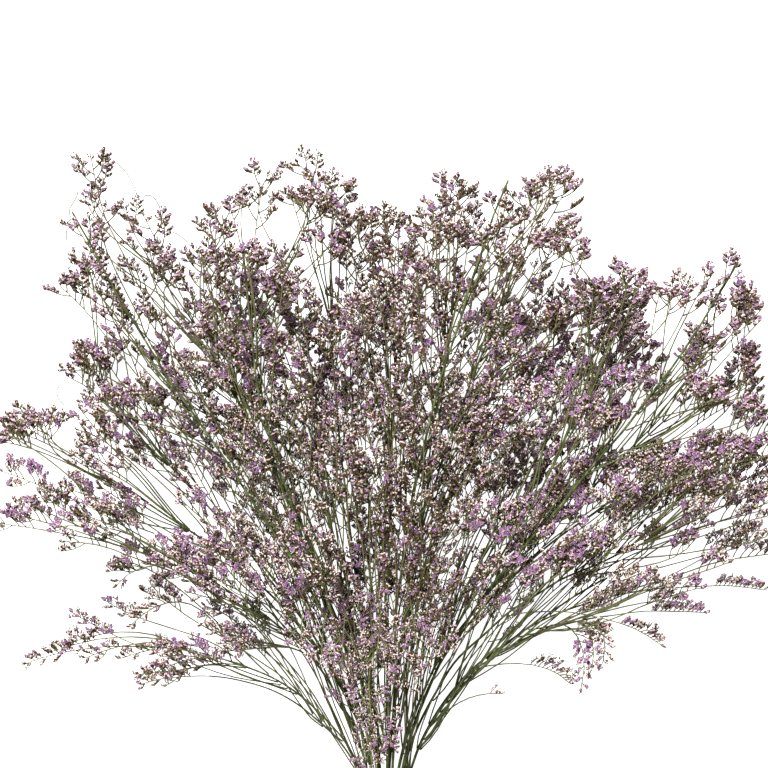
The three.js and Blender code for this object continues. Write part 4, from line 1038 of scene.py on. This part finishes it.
def band_finish():
    """Grower's rubber band: matt tan, chalky where it is stretched, with fine rubbed specks."""
    material, tree, shader = new_material("natural_rubber", RUBBER_ROUGHNESS)
    cloud = add_node(tree, "ShaderNodeTexNoise",
                     {"Vector": on_surface(tree, CLOUDS), "Scale": 1.0, "Detail": 3.0})
    tan = add_node(tree, "ShaderNodeValToRGB", {0: cloud}, RUBBER_TANS)
    speck = add_node(tree, "ShaderNodeTexNoise", {"Vector": on_surface(tree, SPECKS), "Scale": 1.0})
    chalk = add_node(tree, "ShaderNodeMapRange", {"Value": speck, "From Min": 0.6, "From Max": 0.7,
                                                  "To Max": 0.5})
    colour = add_node(tree, "ShaderNodeMix", {0: chalk, 6: tan, 7: linear(RUBBER_CHALK)}, data_type="RGBA")
    tree.links.new(colour.outputs[2], shader.inputs["Base Color"])
    rough = add_node(tree, "ShaderNodeMapRange", {"Value": cloud, "From Min": 0.3, "From Max": 0.7,
                                                  "To Min": 0.5, "To Max": 0.72})
    tree.links.new(rough.outputs[0], shader.inputs["Roughness"])
    bump = add_node(tree, "ShaderNodeBump", {"Strength": 0.3, "Distance": RIDGE_DEPTH, "Height": speck})
    tree.links.new(bump.outputs[0], shader.inputs["Normal"])
    return material


# ---- the band ----
def band_outline(share, lift):
    """A place on the band's flattened ring, this far outside the stems, and the direction out of it."""
    half = BAND_INNER_X - BAND_INNER_Z
    radius = BAND_INNER_Z + lift
    arc = math.pi * radius
    whole = 4 * half + 2 * arc
    run = (share % 1) * whole
    if run < 2 * half:
        return run - half, radius, 0, 1
    run -= 2 * half
    if run < arc:
        angle = math.pi / 2 - run / radius
        return half + radius * math.cos(angle), radius * math.sin(angle), math.cos(angle), math.sin(angle)
    run -= arc
    if run < 2 * half:
        return half - run, -radius, 0, -1
    angle = -math.pi / 2 - (run - 2 * half) / radius
    return -half + radius * math.cos(angle), radius * math.sin(angle), math.cos(angle), math.sin(angle)


def wrap_mesh():
    """An elastic band wound round the stems: turns side by side, and one turn across them on top."""
    reach = BAND_WIDTH / 2 - WRAP_RADIUS
    turns = [(lerp(-1, 1, i / (WRAPS - 1)) * reach, 0, 0) for i in range(WRAPS)]
    turns.append((0, reach, WRAP_RADIUS * WRAP_LIFT))
    places, corners, cells = [], [], []
    for turn, (offset, slant, lift) in enumerate(turns):
        first = len(places)
        for i in range(WRAP_STEPS):
            share = i / WRAP_STEPS
            x, z, out_x, out_z = band_outline(share, WRAP_RADIUS + lift)
            sway = WRAP_SWAY * math.sin(4 * math.pi * share + turn)
            y = BAND_Y + offset + slant * math.sin(2 * math.pi * share) + sway
            for j in range(WRAP_SIDES):
                angle = 2 * math.pi * j / WRAP_SIDES
                out = WRAP_RADIUS * math.cos(angle)
                place_z = max(BAND_Z + z + out * out_z, WRAP_LOWEST)
                places.append(((BAND_X + x + out * out_x) * MM, (y + WRAP_RADIUS * math.sin(angle)) * MM,
                               place_z * MM))
        for i in range(WRAP_STEPS):
            for j in range(WRAP_SIDES):
                for a, b in ((i, j), (i + 1, j), (i + 1, j + 1), (i, j + 1)):
                    corners.append(first + a % WRAP_STEPS * WRAP_SIDES + b % WRAP_SIDES)
                    cells.append(((turn + WRAP_MAP * b / WRAP_SIDES) / len(turns), a / WRAP_STEPS))
    mesh = bpy.data.meshes.new("wraps")
    mesh.from_pydata(places, [], [corners[i:i + 4] for i in range(0, len(corners), 4)])
    layer = mesh.uv_layers.new(name="OFBake")
    for loop, cell in zip(layer.data, cells):
        loop.uv = cell
    mesh.shade_smooth()
    return mesh


# ---- camera, floor and light ----
def set_camera():
    camera = bpy.data.cameras.new("above")
    camera.sensor_width = SENSOR_WIDTH
    camera.lens = camera.sensor_width * CAMERA_DISTANCE / VIEW_WIDTH
    holder = bpy.data.objects.new("above", camera)
    holder.location = (0, VIEW_Y * MM, (MIDDLE_HEIGHT + CAMERA_DISTANCE) * MM)
    bpy.context.scene.collection.objects.link(holder)
    bpy.context.scene.camera = holder


def set_floor():
    """White paper, lit for the eye, so that shadows on it stay white."""
    corners = [(x * PAPER_SIZE, y * PAPER_SIZE, PAPER_Z) for x, y in ((-1, -1), (1, -1), (1, 1), (-1, 1))]
    mesh = bpy.data.meshes.new("floor")
    mesh.from_pydata(corners, [], [(0, 1, 2, 3)])
    floor = new_object("floor", mesh)
    material, tree, shader = new_material("lit_white_paper", PAPER_ROUGHNESS)
    shader.inputs["Base Color"].default_value = linear(PAPER)
    shader.inputs["Emission Color"].default_value = (1, 1, 1, 1)
    seen = add_node(tree, "ShaderNodeLightPath").outputs["Is Camera Ray"]
    tree.links.new(seen, shader.inputs["Emission Strength"])
    mesh.materials.append(material)


def set_light():
    """Warm soft daylight, and a broad lamp from the upper left."""
    scene = bpy.context.scene
    scene.view_settings.view_transform = "Standard"
    world = bpy.data.worlds.new("soft_white")
    scene.world = world
    world.use_nodes = True
    daylight = world.node_tree.nodes["Background"]
    daylight.inputs["Color"].default_value = linear(DAYLIGHT)
    daylight.inputs["Strength"].default_value = DAYLIGHT_STRENGTH
    lamp = bpy.data.lights.new("key", "SUN")
    lamp.energy = LAMP_STRENGTH
    lamp.angle = math.radians(LAMP_WIDTH)
    key = bpy.data.objects.new("key", lamp)
    key.rotation_euler = (*[math.radians(turn) for turn in LAMP_TURN], 0)
    scene.collection.objects.link(key)


# ---- build ----
def stem_path(number, axis, radius, slot, stub):
    """A stem's places and radii, from its bevelled cut end to where its top spray takes over."""
    places = [axis.at(share) for share in evenly(STEM_RINGS, 0, 1 if stub else STEM_SHARE)]
    cut_end = places[0] + slot_offset(slot) * (CUT_END_SPLAY - 1)
    uneven = chances_of(number, f"{number:02d}")
    cut_end.y = CUT_END_Y + uneven.uniform(0, LONGEST_CUT)
    cut_end.x += uneven.uniform(-CUT_SWAY, CUT_SWAY)
    cut_end.z += uneven.uniform(0, CUT_SWAY)
    places = [cut_end.lerp(places[0], share) for share in (0, CUT_BEVEL, *evenly(*CUT_RINGS))] + places
    places.append(places[-1] + (places[-1] - places[-2]).normalized() * TOP_BEVEL)
    radii = evenly(len(places), radius, radius * STEM_TAPER)
    return places, radii


noise.seed_set(SEED)
set_camera()
set_floor()
set_light()
axes, growths = grow_bunch()
stalks_tree = stalk_tree()
florets_tree = floret_tree()
kinds = floret_shapes()
flower_skin = floret_finish()
twig_skin = stalk_finish()
stem_skin = stem_finish()
for number, (axis, growth, row) in enumerate(zip(axes, growths, STEMS), 1):
    name = f"{number:02d}"
    places, radii = stem_path(number, axis, *row[2:])
    main = grown(f"stem_{name}_stalk", path_mesh([(places, radii, 0)], STEM_WIDTH, cut=True), stalks_tree,
                 {"Sides": STEM_SIDES, "Tone width": STEM_WIDTH, "Material": stem_skin})
    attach(main, "root")
    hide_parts(f"stem_{name}")
    sprays = [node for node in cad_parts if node.startswith(f"spray_{name}")]
    twigs = grown(f"stem_{name}_twigs", path_mesh(growth.stalks, TONE_WIDTH), stalks_tree,
                  {"Sides": TWIG_SIDES, "Tone width": TONE_WIDTH, "Material": twig_skin})
    flowers = grown(f"stem_{name}_flowers", point_mesh(growth.florets, TONE_WIDTH), florets_tree,
                    {"Shapes": kinds, "Tone width": TONE_WIDTH, "Seed": number, "Material": flower_skin})
    for piece, slot_name in ((twigs, "stem"), (flowers, "flower")):
        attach(piece, "root")
        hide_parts(*sprays)

band = new_object("wound_band", wrap_mesh())
band.data.materials.append(band_finish())
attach(band, "root")
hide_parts("elastic_band")
